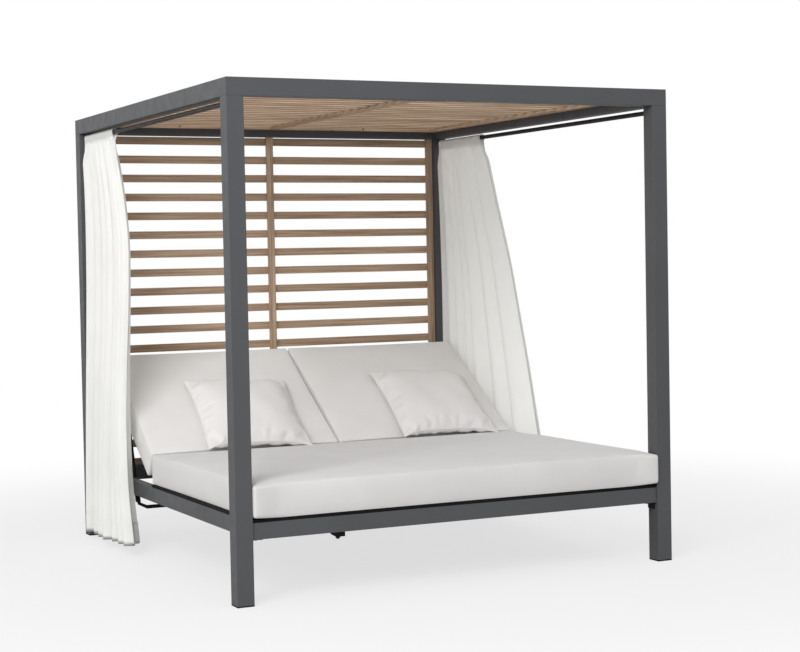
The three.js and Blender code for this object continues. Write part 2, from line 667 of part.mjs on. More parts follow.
function backrestFrame(side) {
  const outer = both(side, frameOuter - FRAME_TUBE, frameOuter);
  const inner = both(side, frameInner, frameInner + FRAME_TUBE);
  const run = [FRAME_FRONT, frameLength];
  const shrink = ([low, high]) => [low + FRAME_WALL, high - FRAME_WALL];
  const boreHeights = shrink(frameHeights);
  const boreRun = [FRAME_FRONT - OVERRUN, frameLength + OVERRUN];
  const across = both(side, frameInner + FRAME_TUBE / 2, frameOuter - FRAME_TUBE / 2);
  const bores = [block(shrink(outer), boreRun, boreHeights), block(shrink(inner), boreRun, boreHeights)];
  const bars = [];
  const pitch = (frameLength - FRAME_FRONT - FRAME_TUBE) / (FRAME_BARS - 1);
  for (let i = 0; i < FRAME_BARS; i += 1) {
    const ys = [FRAME_FRONT + i * pitch, FRAME_FRONT + i * pitch + FRAME_TUBE];
    bars.push(block(across, ys, frameHeights));
    bores.push(block(across, shrink(shrink(ys)), shrink(boreHeights)));
  }
  const lugs = [
    hingeLug(...both(side, frameOuter, frameOuter + LUG.thickness)),
    hingeLug(...both(side, frameInner - LUG.thickness, frameInner)),
  ];
  const whole = joined(block(outer, run, frameHeights), block(inner, run, frameHeights), ...bars, ...lugs);
  const reach = both(side, frameInner - OVERRUN, frameOuter + OVERRUN);
  return cut(
    whole,
    ...bores,
    bar('x', reach, [0, 0], HINGE_ROD.radius + FIT),
    bar('x', reach, [PROP.pivot, frameMiddle], PROP_ROD.radius + FIT),
  );
}

// The hinge rod runs across the whole bed, through the side rails, the bearer and the frames' lugs.
// Collars hold the lugs off the rails, and a nut on each end sits inside the side rail.
function hingeRod() {
  const at = [hingeY, hingeZ];
  const nutFrom = railInnerX + WALL + FIT;
  const end = nutFrom + HINGE_ROD.nutHeight;
  const collar = (side, near, far) => bar('x', both(side, near + FIT, far - FIT), at, HINGE_ROD.collar);
  const nut = (side) => bar('x', both(side, nutFrom, end), at, HINGE_ROD.nut, 6);
  return joined(
    bar('x', [-end, end], at, HINGE_ROD.radius),
    collar(-1, frameOuter + LUG.thickness, railInnerX),
    collar(-1, bearerHalf, frameInner - LUG.thickness),
    collar(1, bearerHalf, frameInner - LUG.thickness),
    collar(1, frameOuter + LUG.thickness, railInnerX),
    nut(-1),
    nut(1),
  );
}
piece('hinge_rod', hingeRod(), STEEL);

// Props. Each is drawn with its pivot as origin and its legs hanging straight down.
const pivotDistance = Math.hypot(PROP.pivot, frameMiddle);
const pivotAngle = Math.atan2(frameMiddle, PROP.pivot);

function pivotAt(tip) {
  const angle = pivotAngle + tip;
  return [hingeY + pivotDistance * Math.cos(angle), hingeZ + pivotDistance * Math.sin(angle)];
}

// Where a point on the prop's legs lies when the backrest is tipped and the prop follows it.
function legPoint(tip, distance) {
  const [y, z] = pivotAt(tip);
  const lean = PROP.lean + 2 * (RECLINE - tip);
  return [y - distance * Math.sin(lean), z - distance * Math.cos(lean)];
}

const legOuter = railInnerX - PROP_OFFSET;
const legInner = bearerHalf + PROP_OFFSET;

function propTube(side) {
  const [left, right] = both(side, legInner, legOuter);
  const path = new THREE.CurvePath();
  const at = (x, z) => new THREE.Vector3(x, 0, z);
  const low = -PROP.length;
  const turn = low + PROP.bend;
  path.add(new THREE.LineCurve3(at(left, PROP_END), at(left, turn)));
  path.add(new THREE.QuadraticBezierCurve3(at(left, turn), at(left, low), at(left + PROP.bend, low)));
  path.add(new THREE.LineCurve3(at(left + PROP.bend, low), at(right - PROP.bend, low)));
  path.add(new THREE.QuadraticBezierCurve3(at(right - PROP.bend, low), at(right, low), at(right, turn)));
  path.add(new THREE.LineCurve3(at(right, turn), at(right, PROP_END)));
  const section = new THREE.Shape();
  section.absarc(0, 0, PROP.radius, 0, 2 * Math.PI);
  return new THREE.ExtrudeGeometry(section, { steps: 44, curveSegments: 4, extrudePath: path });
}

// A U-shaped tube. Each leg has a shoe with a peg that runs in the slot of its guide plate.
function prop(side) {
  const pegAt = [0, -PEG.fromPivot];
  const shoe = (x) => bar('z', [-SHOE.to, -SHOE.from], [side * x, 0], SHOE.radius);
  return cut(
    joined(
      propTube(side),
      shoe(legInner),
      shoe(legOuter),
      bar('x', both(side, legOuter, railInnerX - FIT), pegAt, PEG.radius, 8),
      bar('x', both(side, bearerHalf + FIT, legInner), pegAt, PEG.radius, 8),
    ),
    bar('x', both(side, bearerHalf, railInnerX), [0, 0], PROP_ROD.radius + FIT),
  );
}

// Guide plates on the rail and the bearer, slotted along the path that the pegs take. A strip runs
// on to the rear, with a tab that the lowered frame rests on.
function guidePlate(side, plateReach, tabReach) {
  const path = [];
  for (let i = 0; i <= GUIDE.samples; i += 1) {
    path.push(legPoint(RECLINE * i / GUIDE.samples, PEG.fromPivot));
  }
  const slot = PEG.radius + 2 * FIT + RUN_CLEARANCE;
  const rim = slot + GUIDE.margin;
  const [ys, zs] = [path.map(([y]) => y), path.map(([, z]) => z)];
  const xs = both(side, ...plateReach);
  const tabTop = hingeZ + frameHeights[0] - FIT;
  const tabRear = hingeY + frameLength - REST_TAB.fromRear;
  const tabStart = tabRear - REST_TAB.length;
  const whole = joined(
    block(xs, [Math.min(...ys) - rim, Math.max(...ys) + rim], [Math.min(...zs) - rim, tabTop]),
    block(xs, [Math.max(...ys), tabRear], [tabTop - GUIDE.strip, tabTop]),
    block(both(side, ...tabReach), [tabStart, tabRear], [tabTop - REST_TAB.height, tabTop]),
  );
  const wide = [xs[0] - OVERRUN, xs[1] + OVERRUN];
  const tools = path.map(([y, z]) => bar('x', wide, [y, z], slot));
  for (let i = 1; i < path.length; i += 1) {
    const [[y0, z0], [y1, z1]] = [path[i - 1], path[i]];
    const link = block(wide, [0, Math.hypot(y1 - y0, z1 - z0)], [-slot, slot]);
    tools.push(link.rotateX(Math.atan2(z1 - z0, y1 - y0)).translate(0, y0, z0));
  }
  return cut(whole, joined(...tools));
}

// A rod with a head on each end pins both legs of a prop to the side tubes of its backrest frame.
function propRod(side) {
  const at = [PROP.pivot, frameMiddle];
  const near = legInner - PROP.radius - FIT;
  const far = legOuter + PROP.radius + FIT;
  const head = (from, to) => bar('x', both(side, from, to), at, PROP_ROD.head);
  return joined(
    bar('x', both(side, near - PROP_ROD.headHeight / 2, far + PROP_ROD.headHeight / 2), at, PROP_ROD.radius),
    head(near - PROP_ROD.headHeight, near),
    head(far, far + PROP_ROD.headHeight),
  );
}

// Scatter pillows lean on the backrest cushions, so they are drawn in the same tipped frame.
const pillowRise = (x, size) => (1 - Math.abs(2 * x / size) ** 2.4) ** 0.75;
const cushionRise = edgeRise(BACK_CUSHION.edge);

function evenLines(spans) {
  return (size) => Array.from({ length: spans + 1 }, (unused, i) => size * (i / spans - 0.5));
}

function cushionTopAt(x, y, width) {
  const [u, v] = [2 * x / width, 2 * y / BACK_CUSHION.length];
  if (Math.abs(u) >= 1 || Math.abs(v) >= 1) return 0;
  return BACK_CUSHION.thickness / 2 * cushionRise(x, width) * cushionRise(y, BACK_CUSHION.length)
    + BACK_CUSHION.crown * (1 - u * u) * (1 - v * v);
}

function backrest(side, name, pillowPlace) {
  const tipped = new THREE.Group();
  tipped.position.set(0, hingeY, hingeZ);
  tipped.rotation.x = RECLINE;
  daybed.add(tipped);
  piece(`backrest_frame_${name}`, backrestFrame(side), STEEL, tipped);
  piece(`prop_rod_${name}`, propRod(side), STEEL, tipped);

  const width = postInner - MATTRESS.sideGap - BACK_CUSHION.split;
  const middle = [side * (BACK_CUSHION.split + width / 2), raisedStart + BACK_CUSHION.length / 2];
  const cushion = boxCushion({
    width, depth: BACK_CUSHION.length, thickness: BACK_CUSHION.thickness,
    crown: BACK_CUSHION.crown, drawIn: BACK_CUSHION.drawIn, edge: BACK_CUSHION.edge,
  });
  cushion.translate(middle[0], middle[1], cushionBottom + BACK_CUSHION.thickness / 2);
  piece(`back_cushion_${name}`, cushion, CANVAS, tipped);

  const pillow = paddedForm({
    width: PILLOW.width, depth: PILLOW.height, top: PILLOW.front, bottom: PILLOW.back, crown: 0,
    drawIn: PILLOW.drawIn, rise: pillowRise, lines: evenLines(14),
  });
  const place = [middle[0] + pillowPlace.offset, raisedStart + PILLOW.lowerEdge + PILLOW.height / 2];
  let lift = 0;
  for (const x of evenLines(20)(PILLOW.width)) {
    for (const y of evenLines(20)(PILLOW.height)) {
      const back = PILLOW.back * pillowRise(x, PILLOW.width) * pillowRise(y, PILLOW.height);
      lift = Math.max(lift, back + cushionTopAt(place[0] + x - middle[0], place[1] + y - middle[1], width));
    }
  }
  const height = cushionBottom + BACK_CUSHION.thickness / 2 + lift + REST_GAP;
  pillow.rotateZ(pillowPlace.tilt).translate(place[0], place[1], height);
  piece(`pillow_${name}`, pillow, CANVAS, tipped);

  const hung = new THREE.Group();
  const [pivotY, pivotZ] = pivotAt(RECLINE);
  hung.position.set(0, pivotY, pivotZ);
  hung.rotation.x = -PROP.lean;
  daybed.add(hung);
  piece(`prop_${name}`, prop(side), STEEL, hung);
  const outerPlate = [railInnerX - GUIDE.thickness, railInnerX];
  const outerTab = [railInnerX - REST_TAB.reach, railInnerX];
  const innerPlate = [bearerHalf, bearerHalf + GUIDE.thickness];
  const innerTab = [bearerHalf, bearerHalf + REST_TAB.reach];
  piece(`guide_plate_${name}_outer`, guidePlate(side, outerPlate, outerTab), STEEL);
  piece(`guide_plate_${name}_inner`, guidePlate(side, innerPlate, innerTab), STEEL);
}
backrest(-1, 'left', PILLOW_LEFT);
backrest(1, 'right', PILLOW_RIGHT);

export default daybed;
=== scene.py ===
import math

import bmesh
import bpy
import numpy as np
from mathutils import Matrix, Vector


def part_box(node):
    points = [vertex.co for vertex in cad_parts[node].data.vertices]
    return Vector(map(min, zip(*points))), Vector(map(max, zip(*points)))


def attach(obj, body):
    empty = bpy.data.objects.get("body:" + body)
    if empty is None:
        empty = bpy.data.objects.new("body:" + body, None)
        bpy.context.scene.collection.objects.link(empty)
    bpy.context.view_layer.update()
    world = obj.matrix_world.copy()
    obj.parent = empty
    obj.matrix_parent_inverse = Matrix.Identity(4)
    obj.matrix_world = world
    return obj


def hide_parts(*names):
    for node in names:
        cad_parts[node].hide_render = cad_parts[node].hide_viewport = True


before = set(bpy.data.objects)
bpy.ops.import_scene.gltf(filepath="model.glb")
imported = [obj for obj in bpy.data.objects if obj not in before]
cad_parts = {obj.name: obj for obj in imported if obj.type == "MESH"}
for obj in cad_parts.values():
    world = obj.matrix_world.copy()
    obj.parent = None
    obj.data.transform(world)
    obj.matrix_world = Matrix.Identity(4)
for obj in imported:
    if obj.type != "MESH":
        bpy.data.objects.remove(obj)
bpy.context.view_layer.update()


# Camera. It stands in front of the bed and to its left, at about chest height, and looks slightly
# down. The lens is a long one, so the posts run almost parallel.
def placed(name, data):
    """A new object of this data, in the scene."""
    made = bpy.data.objects.new(name, data)
    bpy.context.scene.collection.objects.link(made)
    return made


camera_place = Vector((-3.3019, -7.3017, 1.3316))
camera_yaw, camera_pitch, camera_roll = 0.4503, -0.0393, -0.0190
camera = placed("photo_camera", bpy.data.cameras.new("photo_camera"))
camera.data.sensor_width = 36.0
camera.data.lens = 78.268
camera.data.clip_end = 200.0
ahead = Vector((
    math.sin(camera_yaw) * math.cos(camera_pitch),
    math.cos(camera_yaw) * math.cos(camera_pitch),
    math.sin(camera_pitch),
))
level = Vector((math.cos(camera_yaw), -math.sin(camera_yaw), 0.0))
upright = level.cross(ahead)
camera_right = level * math.cos(camera_roll) + upright * math.sin(camera_roll)
camera_up = upright * math.cos(camera_roll) - level * math.sin(camera_roll)
turn = Matrix((camera_right, camera_up, -ahead)).transposed().to_4x4()
camera.matrix_world = Matrix.Translation(camera_place) @ turn
bpy.context.scene.camera = camera


# Posts, beams and deck rails. Extruded aluminium tubes with eased corners, mitred at the top and
# powder coated in anthracite grey after they are cut. The coat has a fine orange-peel surface.
def new_finish(name, colour, roughness, gloss=0.5, metal=0.0):
    """A material whose constant values are set on the shader's own sockets."""
    finish = bpy.data.materials.new(name)
    finish.use_nodes = True
    shader = finish.node_tree.nodes["Principled BSDF"]
    shader.inputs["Base Color"].default_value = (*colour, 1.0)
    shader.inputs["Roughness"].default_value = roughness
    shader.inputs["Specular IOR Level"].default_value = gloss
    shader.inputs["Metallic"].default_value = metal
    return finish


def join(owner, pairs):
    """Links each pair of sockets of a finish or of the world."""
    for start, end in pairs:
        owner.node_tree.links.new(start, end)


def new_nodes(owner, *kinds):
    """New shader nodes of these kinds."""
    return [owner.node_tree.nodes.new("ShaderNode" + kind) for kind in kinds]


def feed(finish, output, name):
    """Feeds one socket of the finish's own shader."""
    shader = finish.node_tree.nodes["Principled BSDF"]
    finish.node_tree.links.new(output, shader.inputs[name])


def add_noise(finish, scale, stretch=(1.0, 1.0, 1.0), detail=3.0, source="Object"):
    """Noise over the piece, finer across than along where stretch says so."""
    tree = finish.node_tree
    if source == "Object":
        place = tree.nodes.new("ShaderNodeTexCoord").outputs["Object"]
    else:
        attribute = tree.nodes.new("ShaderNodeAttribute")
        attribute.attribute_name = source
        place = attribute.outputs["Vector"]
    mapping, noise = new_nodes(finish, "Mapping", "TexNoise")
    mapping.inputs["Scale"].default_value = stretch
    noise.inputs["Scale"].default_value = scale
    noise.inputs["Detail"].default_value = detail
    tree.links.new(place, mapping.inputs["Vector"])
    tree.links.new(mapping.outputs["Vector"], noise.inputs["Vector"])
    return noise.outputs["Fac"]


def tint(finish, factor, colours, spread=(0.3, 0.7)):
    """A ramp from the first colour to the last over the middle of the factor, as base colour."""
    ramp = finish.node_tree.nodes.new("ShaderNodeValToRGB")
    ramp.color_ramp.elements[0].position = spread[0]
    ramp.color_ramp.elements[1].position = spread[1]
    ramp.color_ramp.elements[0].color = (*colours[0], 1.0)
    ramp.color_ramp.elements[1].color = (*colours[1], 1.0)
    finish.node_tree.links.new(factor, ramp.inputs["Fac"])
    feed(finish, ramp.outputs["Color"], "Base Color")
    return ramp.outputs["Color"]


def relief(finish, height, strength, depth):
    """Bumps the surface by that height, depth metres from low to high."""
    bump = finish.node_tree.nodes.new("ShaderNodeBump")
    bump.inputs["Strength"].default_value = strength
    bump.inputs["Distance"].default_value = depth
    finish.node_tree.links.new(height, bump.inputs["Height"])
    feed(finish, bump.outputs["Normal"], "Normal")


def dull_spots(finish, factor, low, high):
    """Roughness that wanders between low and high with the factor."""
    spread = finish.node_tree.nodes.new("ShaderNodeMapRange")
    for name, value in (("From Min", 0.3), ("From Max", 0.7), ("To Min", low), ("To Max", high)):
        spread.inputs[name].default_value = value
    finish.node_tree.links.new(factor, spread.inputs["Value"])
    feed(finish, spread.outputs["Result"], "Roughness")


def rounded_edges(piece, width, angle=30.0):
    """Rounds the edges that are sharper than the angle."""
    easing = piece.modifiers.new("eased_edges", "BEVEL")
    easing.width = width
    easing.segments = 2
    easing.limit_method = "ANGLE"
    easing.angle_limit = math.radians(angle)
    easing.harden_normals = True


def eased_copy(node, body, finish, edge=0.0, smooth=30.0):
    """A welded copy of a node's solid in one finish, with its sharp edges rounded."""
    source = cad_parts[node].data
    mesh = bpy.data.meshes.new(node + "_made")
    corners = [vertex.co[:] for vertex in source.vertices]
    mesh.from_pydata(corners, [], [list(face.vertices) for face in source.polygons])
    shape = bmesh.new()
    shape.from_mesh(mesh)
    bmesh.ops.remove_doubles(shape, verts=shape.verts, dist=0.00001)
    bmesh.ops.dissolve_limit(
        shape, angle_limit=math.radians(0.5), verts=shape.verts, edges=shape.edges
    )
    shape.to_mesh(mesh)
    shape.free()
    mesh.materials.append(finish)
    mesh.shade_smooth()
    mesh.set_sharp_from_angle(angle=math.radians(smooth))
    piece = placed(node + "_made", mesh)
    if edge:
        rounded_edges(piece, edge, smooth)
    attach(piece, body)
    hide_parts(node)


anthracite = new_finish("anthracite_powder_coat", (0.064, 0.066, 0.071), 0.5, 0.4)
tint(anthracite, add_noise(anthracite, 3.0), ((0.061, 0.063, 0.068), (0.067, 0.069, 0.074)))
orange_peel = add_noise(anthracite, 700.0, detail=2.0)
relief(anthracite, orange_peel, 0.25, 0.0002)
dull_spots(anthracite, add_noise(anthracite, 18.0), 0.44, 0.56)

corners = ("front_left", "front_right", "back_left", "back_right")
for corner in corners:
    eased_copy("post_" + corner, "bed_frame", anthracite, 0.0015)
sides = ("front", "back", "left", "right")
for node in [tube + side for side in sides for tube in ("beam_", "rail_")] + ["centre_bearer"]:
    eased_copy(node, "bed_frame", anthracite, 0.0012)


# Foot caps and the clamp under the front rail. Injection moulded black plastic with a matt
# surface. The caps plug into the posts, and one bolt holds the clamp.
black_plastic = new_finish("matt_black_plastic", (0.005, 0.005, 0.005), 0.7, 0.08)
tint(
    black_plastic, add_noise(black_plastic, 30.0), ((0.004, 0.004, 0.004), (0.007, 0.007, 0.007))
)
relief(black_plastic, add_noise(black_plastic, 1800.0), 0.3, 0.0001)
for corner in corners:
    eased_copy("foot_cap_" + corner, "bed_frame", black_plastic, 0.001)
eased_copy("clamp_block", "bed_frame", black_plastic, 0.0015)


# Brackets, bolts and screws that hold the deck and the canopy. Pressed and turned steel with a
# thin black coat, which shines a little more than the plastic.
def steel_copy(node, edge=0.0, smooth=30.0, body="bed_frame"):
    """A node's solid in black coated steel."""
    eased_copy(node, body, black_steel, edge, smooth)


black_steel = new_finish("black_coated_steel", (0.009, 0.009, 0.010), 0.45, 0.25)
tint(black_steel, add_noise(black_steel, 12.0), ((0.007, 0.007, 0.008), (0.012, 0.012, 0.013)))
relief(black_steel, add_noise(black_steel, 900.0), 0.2, 0.0001)
dull_spots(black_steel, add_noise(black_steel, 25.0), 0.36, 0.5)
for corner in corners:
    steel_copy("rail_bracket_" + corner, 0.0008)
    steel_copy("bracket_bolt_" + corner, 0.0005)
steel_copy("clamp_bolt", smooth=40.0)
for side in ("left", "right"):
    steel_copy("roof_screw_" + side, 0.0005)


# Deck slats. Black stained boards laid across the rails, which carry the mattress, with a board
# along each side and two thin straps riveted under them. Only the edges show, as a dark line. Their
# colour is darker than the stain, near black, as painted shade for the shadow under the mattress.
# Near-black colour: partly the boards' own black, partly painted shade under the mattress.
boards_black_and_painted_shade = new_finish("black_boards_and_painted_shade", (0.006, 0.006, 0.006), 0.7, 0.1)
board_grain = add_noise(boards_black_and_painted_shade, 30.0, (0.06, 1.0, 1.0), detail=5.0)
tint(boards_black_and_painted_shade, board_grain, ((0.004, 0.004, 0.004), (0.009, 0.008, 0.008)))
relief(boards_black_and_painted_shade, board_grain, 0.3, 0.0004)
eased_copy("deck_slats", "bed_frame", boards_black_and_painted_shade, 0.001)


# Canopy and back panel. Planed teak slats, evenly spaced, each one screwed down onto the battens
# that run across them. The wood is oiled, and every board has its own tone and grain.
def new_tree(name, output, inputs):
    """A geometry tree with one output and these inputs."""
    tree = bpy.data.node_groups.new(name, "GeometryNodeTree")
    tree.interface.new_socket(output, in_out="OUTPUT", socket_type="NodeSocketGeometry")
    for label, kind in inputs:
        tree.interface.new_socket(label, in_out="INPUT", socket_type="NodeSocket" + kind)
    return tree


def math_node(tree, operation, kind="ShaderNodeMath"):
    """A node that works out one sum or product."""
    node = tree.nodes.new(kind)
    node.operation = operation
    return node


def board_tree():
    """Boards of one size in a row, each with its own number and with its grain laid along it."""
    grain_apart = 17.0
    tree = new_tree("board_row", "Boards", (
        ("Board size", "Vector"), ("Boards", "Int"), ("First centre", "Vector"),
        ("Step", "Vector"), ("Along grain", "Vector"), ("Across grain", "Vector"),
        ("Seed", "Int"), ("Finish", "Material"),
    ))
    add, link = tree.nodes.new, tree.links.new
    given = add("NodeGroupInput").outputs
    board = add("GeometryNodeMeshCube")
    row = add("GeometryNodeMeshLine")
    laid = add("GeometryNodeInstanceOnPoints")
    link(given["Board size"], board.inputs["Size"])
    link(given["Boards"], row.inputs["Count"])
    link(given["First centre"], row.inputs["Start Location"])
    link(given["Step"], row.inputs["Offset"])
    link(row.outputs["Mesh"], laid.inputs["Points"])
    link(board.outputs["Mesh"], laid.inputs["Instance"])

    chance = add("FunctionNodeRandomValue")
    chance.data_type = "FLOAT"
    link(given["Seed"], chance.inputs["Seed"])
    numbered = add("GeometryNodeStoreNamedAttribute")
    numbered.data_type, numbered.domain = "FLOAT", "INSTANCE"
    numbered.inputs["Name"].default_value = "board"
    link(laid.outputs["Instances"], numbered.inputs["Geometry"])
    link(chance.outputs[1], numbered.inputs["Value"])
    real = add("GeometryNodeRealizeInstances")
    link(numbered.outputs["Geometry"], real.inputs["Geometry"])

    number = add("GeometryNodeInputNamedAttribute")
    number.data_type = "FLOAT"
    number.inputs["Name"].default_value = "board"
    place = add("GeometryNodeInputPosition").outputs["Position"]
    third = math_node(tree, "CROSS_PRODUCT", "ShaderNodeVectorMath")
    link(given["Along grain"], third.inputs[0])
    link(given["Across grain"], third.inputs[1])
    grain = add("ShaderNodeCombineXYZ")
    for axis, direction in zip(
        "XYZ", (given["Along grain"], given["Across grain"], third.outputs["Vector"])
    ):
        along = math_node(tree, "DOT_PRODUCT", "ShaderNodeVectorMath")
        link(place, along.inputs[0])
        link(direction, along.inputs[1])
        shifted = math_node(tree, "MULTIPLY_ADD")
        shifted.inputs[1].default_value = grain_apart
        link(number.outputs["Attribute"], shifted.inputs[0])
        link(along.outputs["Value"], shifted.inputs[2])
        link(shifted.outputs["Value"], grain.inputs[axis])
    marked = add("GeometryNodeStoreNamedAttribute")
    marked.data_type, marked.domain = "FLOAT_VECTOR", "POINT"
    marked.inputs["Name"].default_value = "grain"
    link(real.outputs["Geometry"], marked.inputs["Geometry"])
    link(grain.outputs["Vector"], marked.inputs["Value"])
    finished = add("GeometryNodeSetMaterial")
    link(marked.outputs["Geometry"], finished.inputs["Geometry"])
    link(given["Finish"], finished.inputs["Material"])
    link(finished.outputs["Geometry"], add("NodeGroupOutput").inputs["Boards"])
    return tree


def grown(name, tree, values):
    """The plain mesh that a tree makes from these values, as a new object."""
    base = placed(name + "_base", bpy.data.meshes.new(name + "_base"))
    maker = base.modifiers.new("maker", "NODES")
    maker.node_group = tree
    for socket in tree.interface.items_tree:
        if socket.in_out == "INPUT" and socket.name in values:
            maker[socket.identifier] = values[socket.name]
    seen = base.evaluated_get(bpy.context.evaluated_depsgraph_get())
    mesh = bpy.data.meshes.new_from_object(seen)
    mesh.name = name
    bpy.data.objects.remove(base)
    return placed(name, mesh)


teak = new_finish("oiled_teak", (0.44, 0.30, 0.19), 0.55, 0.35)
fibres = add_noise(teak, 9.0, (0.35, 14.0, 14.0), detail=6.0, source="grain")
figure = tint(teak, fibres, ((0.275, 0.180, 0.118), (0.590, 0.435, 0.302)), (0.28, 0.72))
board_number, board_tone, toned = new_nodes(teak, "Attribute", "ValToRGB", "Mix")
board_number.attribute_name = "board"
board_tone.color_ramp.elements[0].color = (0.86, 0.84, 0.82, 1.0)
board_tone.color_ramp.elements[1].color = (1.0, 1.0, 1.0, 1.0)
toned.data_type, toned.blend_type = "RGBA", "MULTIPLY"
toned.inputs["Factor"].default_value = 1.0
join(teak, (
    (board_number.outputs["Fac"], board_tone.inputs["Fac"]),
    (figure, toned.inputs[6]),
    (board_tone.outputs["Color"], toned.inputs[7]),
))
feed(teak, toned.outputs[2], "Base Color")
pores = add_noise(teak, 60.0, (0.12, 12.0, 12.0), detail=4.0, source="grain")
relief(teak, pores, 0.35, 0.0004)

row_of_boards = board_tree()
x_way, y_way, z_way = Vector((1, 0, 0)), Vector((0, 1, 0)), Vector((0, 0, 1))
slat_width, slat_thickness, batten_width, slat_rounding = 0.038, 0.018, 0.035, 0.0015
roof_slats, back_slats = 22, 18


def lay_boards(name, size, count, first, last, along, across, seed, nodes=()):
    """A row of boards from the first centre to the last, as one piece of the frame."""
    step = (Vector(last) - Vector(first)) / max(count - 1, 1)
    piece = grown(name, row_of_boards, {
        "Board size": size, "Boards": count, "First centre": first, "Step": step,
        "Along grain": along, "Across grain": across, "Seed": seed, "Finish": teak,
    })
    rounded_edges(piece, slat_rounding)
    piece.data.shade_smooth()
    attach(piece, "bed_frame")
    if nodes:
        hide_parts(*nodes)


roof_low, roof_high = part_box("roof_panel")
roof_slat_z = roof_high.z - slat_thickness / 2
roof_batten_z = roof_slat_z - slat_thickness
roof_end = roof_high.y - slat_width / 2
lay_boards(
    "canopy_slats", (roof_high.x - roof_low.x, slat_width, slat_thickness), roof_slats,
    (0, -roof_end, roof_slat_z), (0, roof_end, roof_slat_z), x_way, y_way, 3, ("roof_panel",),
)
batten_x = roof_high.x - batten_width / 2
batten_end = roof_high.y - batten_width / 2
joint_gap = 0.0003
lay_boards(
    "canopy_side_battens", (batten_width, 2 * roof_high.y, slat_thickness), 2,
    (-batten_x, 0, roof_batten_z), (batten_x, 0, roof_batten_z), y_way, x_way, 5,
    ("roof_batten_left", "roof_batten_right"),
)
lay_boards(
    "canopy_middle_batten",
    (batten_width, 2 * (roof_high.y - batten_width - joint_gap), slat_thickness), 1,
    (0, 0, roof_batten_z), (0, 0, roof_batten_z), y_way, x_way, 8,
)
lay_boards(
    "canopy_end_battens",
    (2 * (roof_high.x - batten_width - joint_gap), batten_width, slat_thickness), 2,
    (0, -batten_end, roof_batten_z), (0, batten_end, roof_batten_z), x_way, y_way, 9,
)

back_low, back_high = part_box("back_panel")
back_slat_y = back_high.y - slat_thickness / 2
back_batten_y = back_slat_y - slat_thickness
back_top_gap = 0.005
back_first = back_low.z + slat_width / 2
back_last = back_high.z - slat_width / 2 - back_top_gap
lay_boards(
    "back_slats", (back_high.x - back_low.x, slat_thickness, slat_width), back_slats,
    (0, back_slat_y, back_first), (0, back_slat_y, back_last), x_way, z_way, 12, ("back_panel",),
)
lay_boards(
    "back_battens", (batten_width, slat_thickness, back_high.z - back_low.z), 3,
    (-batten_x, back_batten_y, (back_low.z + back_high.z) / 2),
    (batten_x, back_batten_y, (back_low.z + back_high.z) / 2), z_way, x_way, 14,
    ("back_batten_left", "back_batten_right"),
)


# Slat screws. One stainless steel screw holds each slat on each batten, driven in from outside, so
# they show only from above and from behind.
def screw_tree():
    """Screw heads on a grid, each with a recess, turned so that they face one way."""
    head_sides, top_share, recess_share, recess_depth = 12, 0.85, 0.5, 0.0005
    tree = new_tree("screw_grid", "Screws", (
        ("Across", "Float"), ("Up", "Float"), ("Columns", "Int"), ("Rows", "Int"),
        ("Turn", "Rotation"), ("Middle", "Vector"), ("Head radius", "Float"),
        ("Head height", "Float"), ("Finish", "Material"),
    ))
    add, link = tree.nodes.new, tree.links.new
    given = add("NodeGroupInput").outputs
    head = add("GeometryNodeMeshCone")
    head.inputs["Vertices"].default_value = head_sides
    link(given["Head radius"], head.inputs["Radius Bottom"])
    top_radius = math_node(tree, "MULTIPLY")
    top_radius.inputs[1].default_value = top_share
    link(given["Head radius"], top_radius.inputs[0])
    link(top_radius.outputs["Value"], head.inputs["Radius Top"])
    link(given["Head height"], head.inputs["Depth"])
    rim = add("GeometryNodeExtrudeMesh")
    rim.mode = "FACES"
    rim.inputs["Offset Scale"].default_value = 0.0
    link(head.outputs["Mesh"], rim.inputs["Mesh"])
    link(head.outputs["Top"], rim.inputs["Selection"])
    narrowed = add("GeometryNodeScaleElements")
    narrowed.inputs["Scale"].default_value = recess_share
    link(rim.outputs["Mesh"], narrowed.inputs["Geometry"])
    link(rim.outputs["Top"], narrowed.inputs["Selection"])
    recess = add("GeometryNodeExtrudeMesh")
    recess.mode = "FACES"
    recess.inputs["Offset Scale"].default_value = -recess_depth
    link(narrowed.outputs["Geometry"], recess.inputs["Mesh"])
    link(rim.outputs["Top"], recess.inputs["Selection"])
    grid = add("GeometryNodeMeshGrid")
    for name, socket in (
        ("Across", "Size X"), ("Up", "Size Y"), ("Columns", "Vertices X"), ("Rows", "Vertices Y"),
    ):
        link(given[name], grid.inputs[socket])
    driven = add("GeometryNodeInstanceOnPoints")
    link(grid.outputs["Mesh"], driven.inputs["Points"])
    link(recess.outputs["Mesh"], driven.inputs["Instance"])
    moved = add("GeometryNodeTransform")
    link(driven.outputs["Instances"], moved.inputs["Geometry"])
    link(given["Middle"], moved.inputs["Translation"])
    link(given["Turn"], moved.inputs["Rotation"])
    real = add("GeometryNodeRealizeInstances")
    link(moved.outputs["Geometry"], real.inputs["Geometry"])
    finished = add("GeometryNodeSetMaterial")
    link(real.outputs["Geometry"], finished.inputs["Geometry"])
    link(given["Finish"], finished.inputs["Material"])
    link(finished.outputs["Geometry"], add("NodeGroupOutput").inputs["Screws"])
    return tree


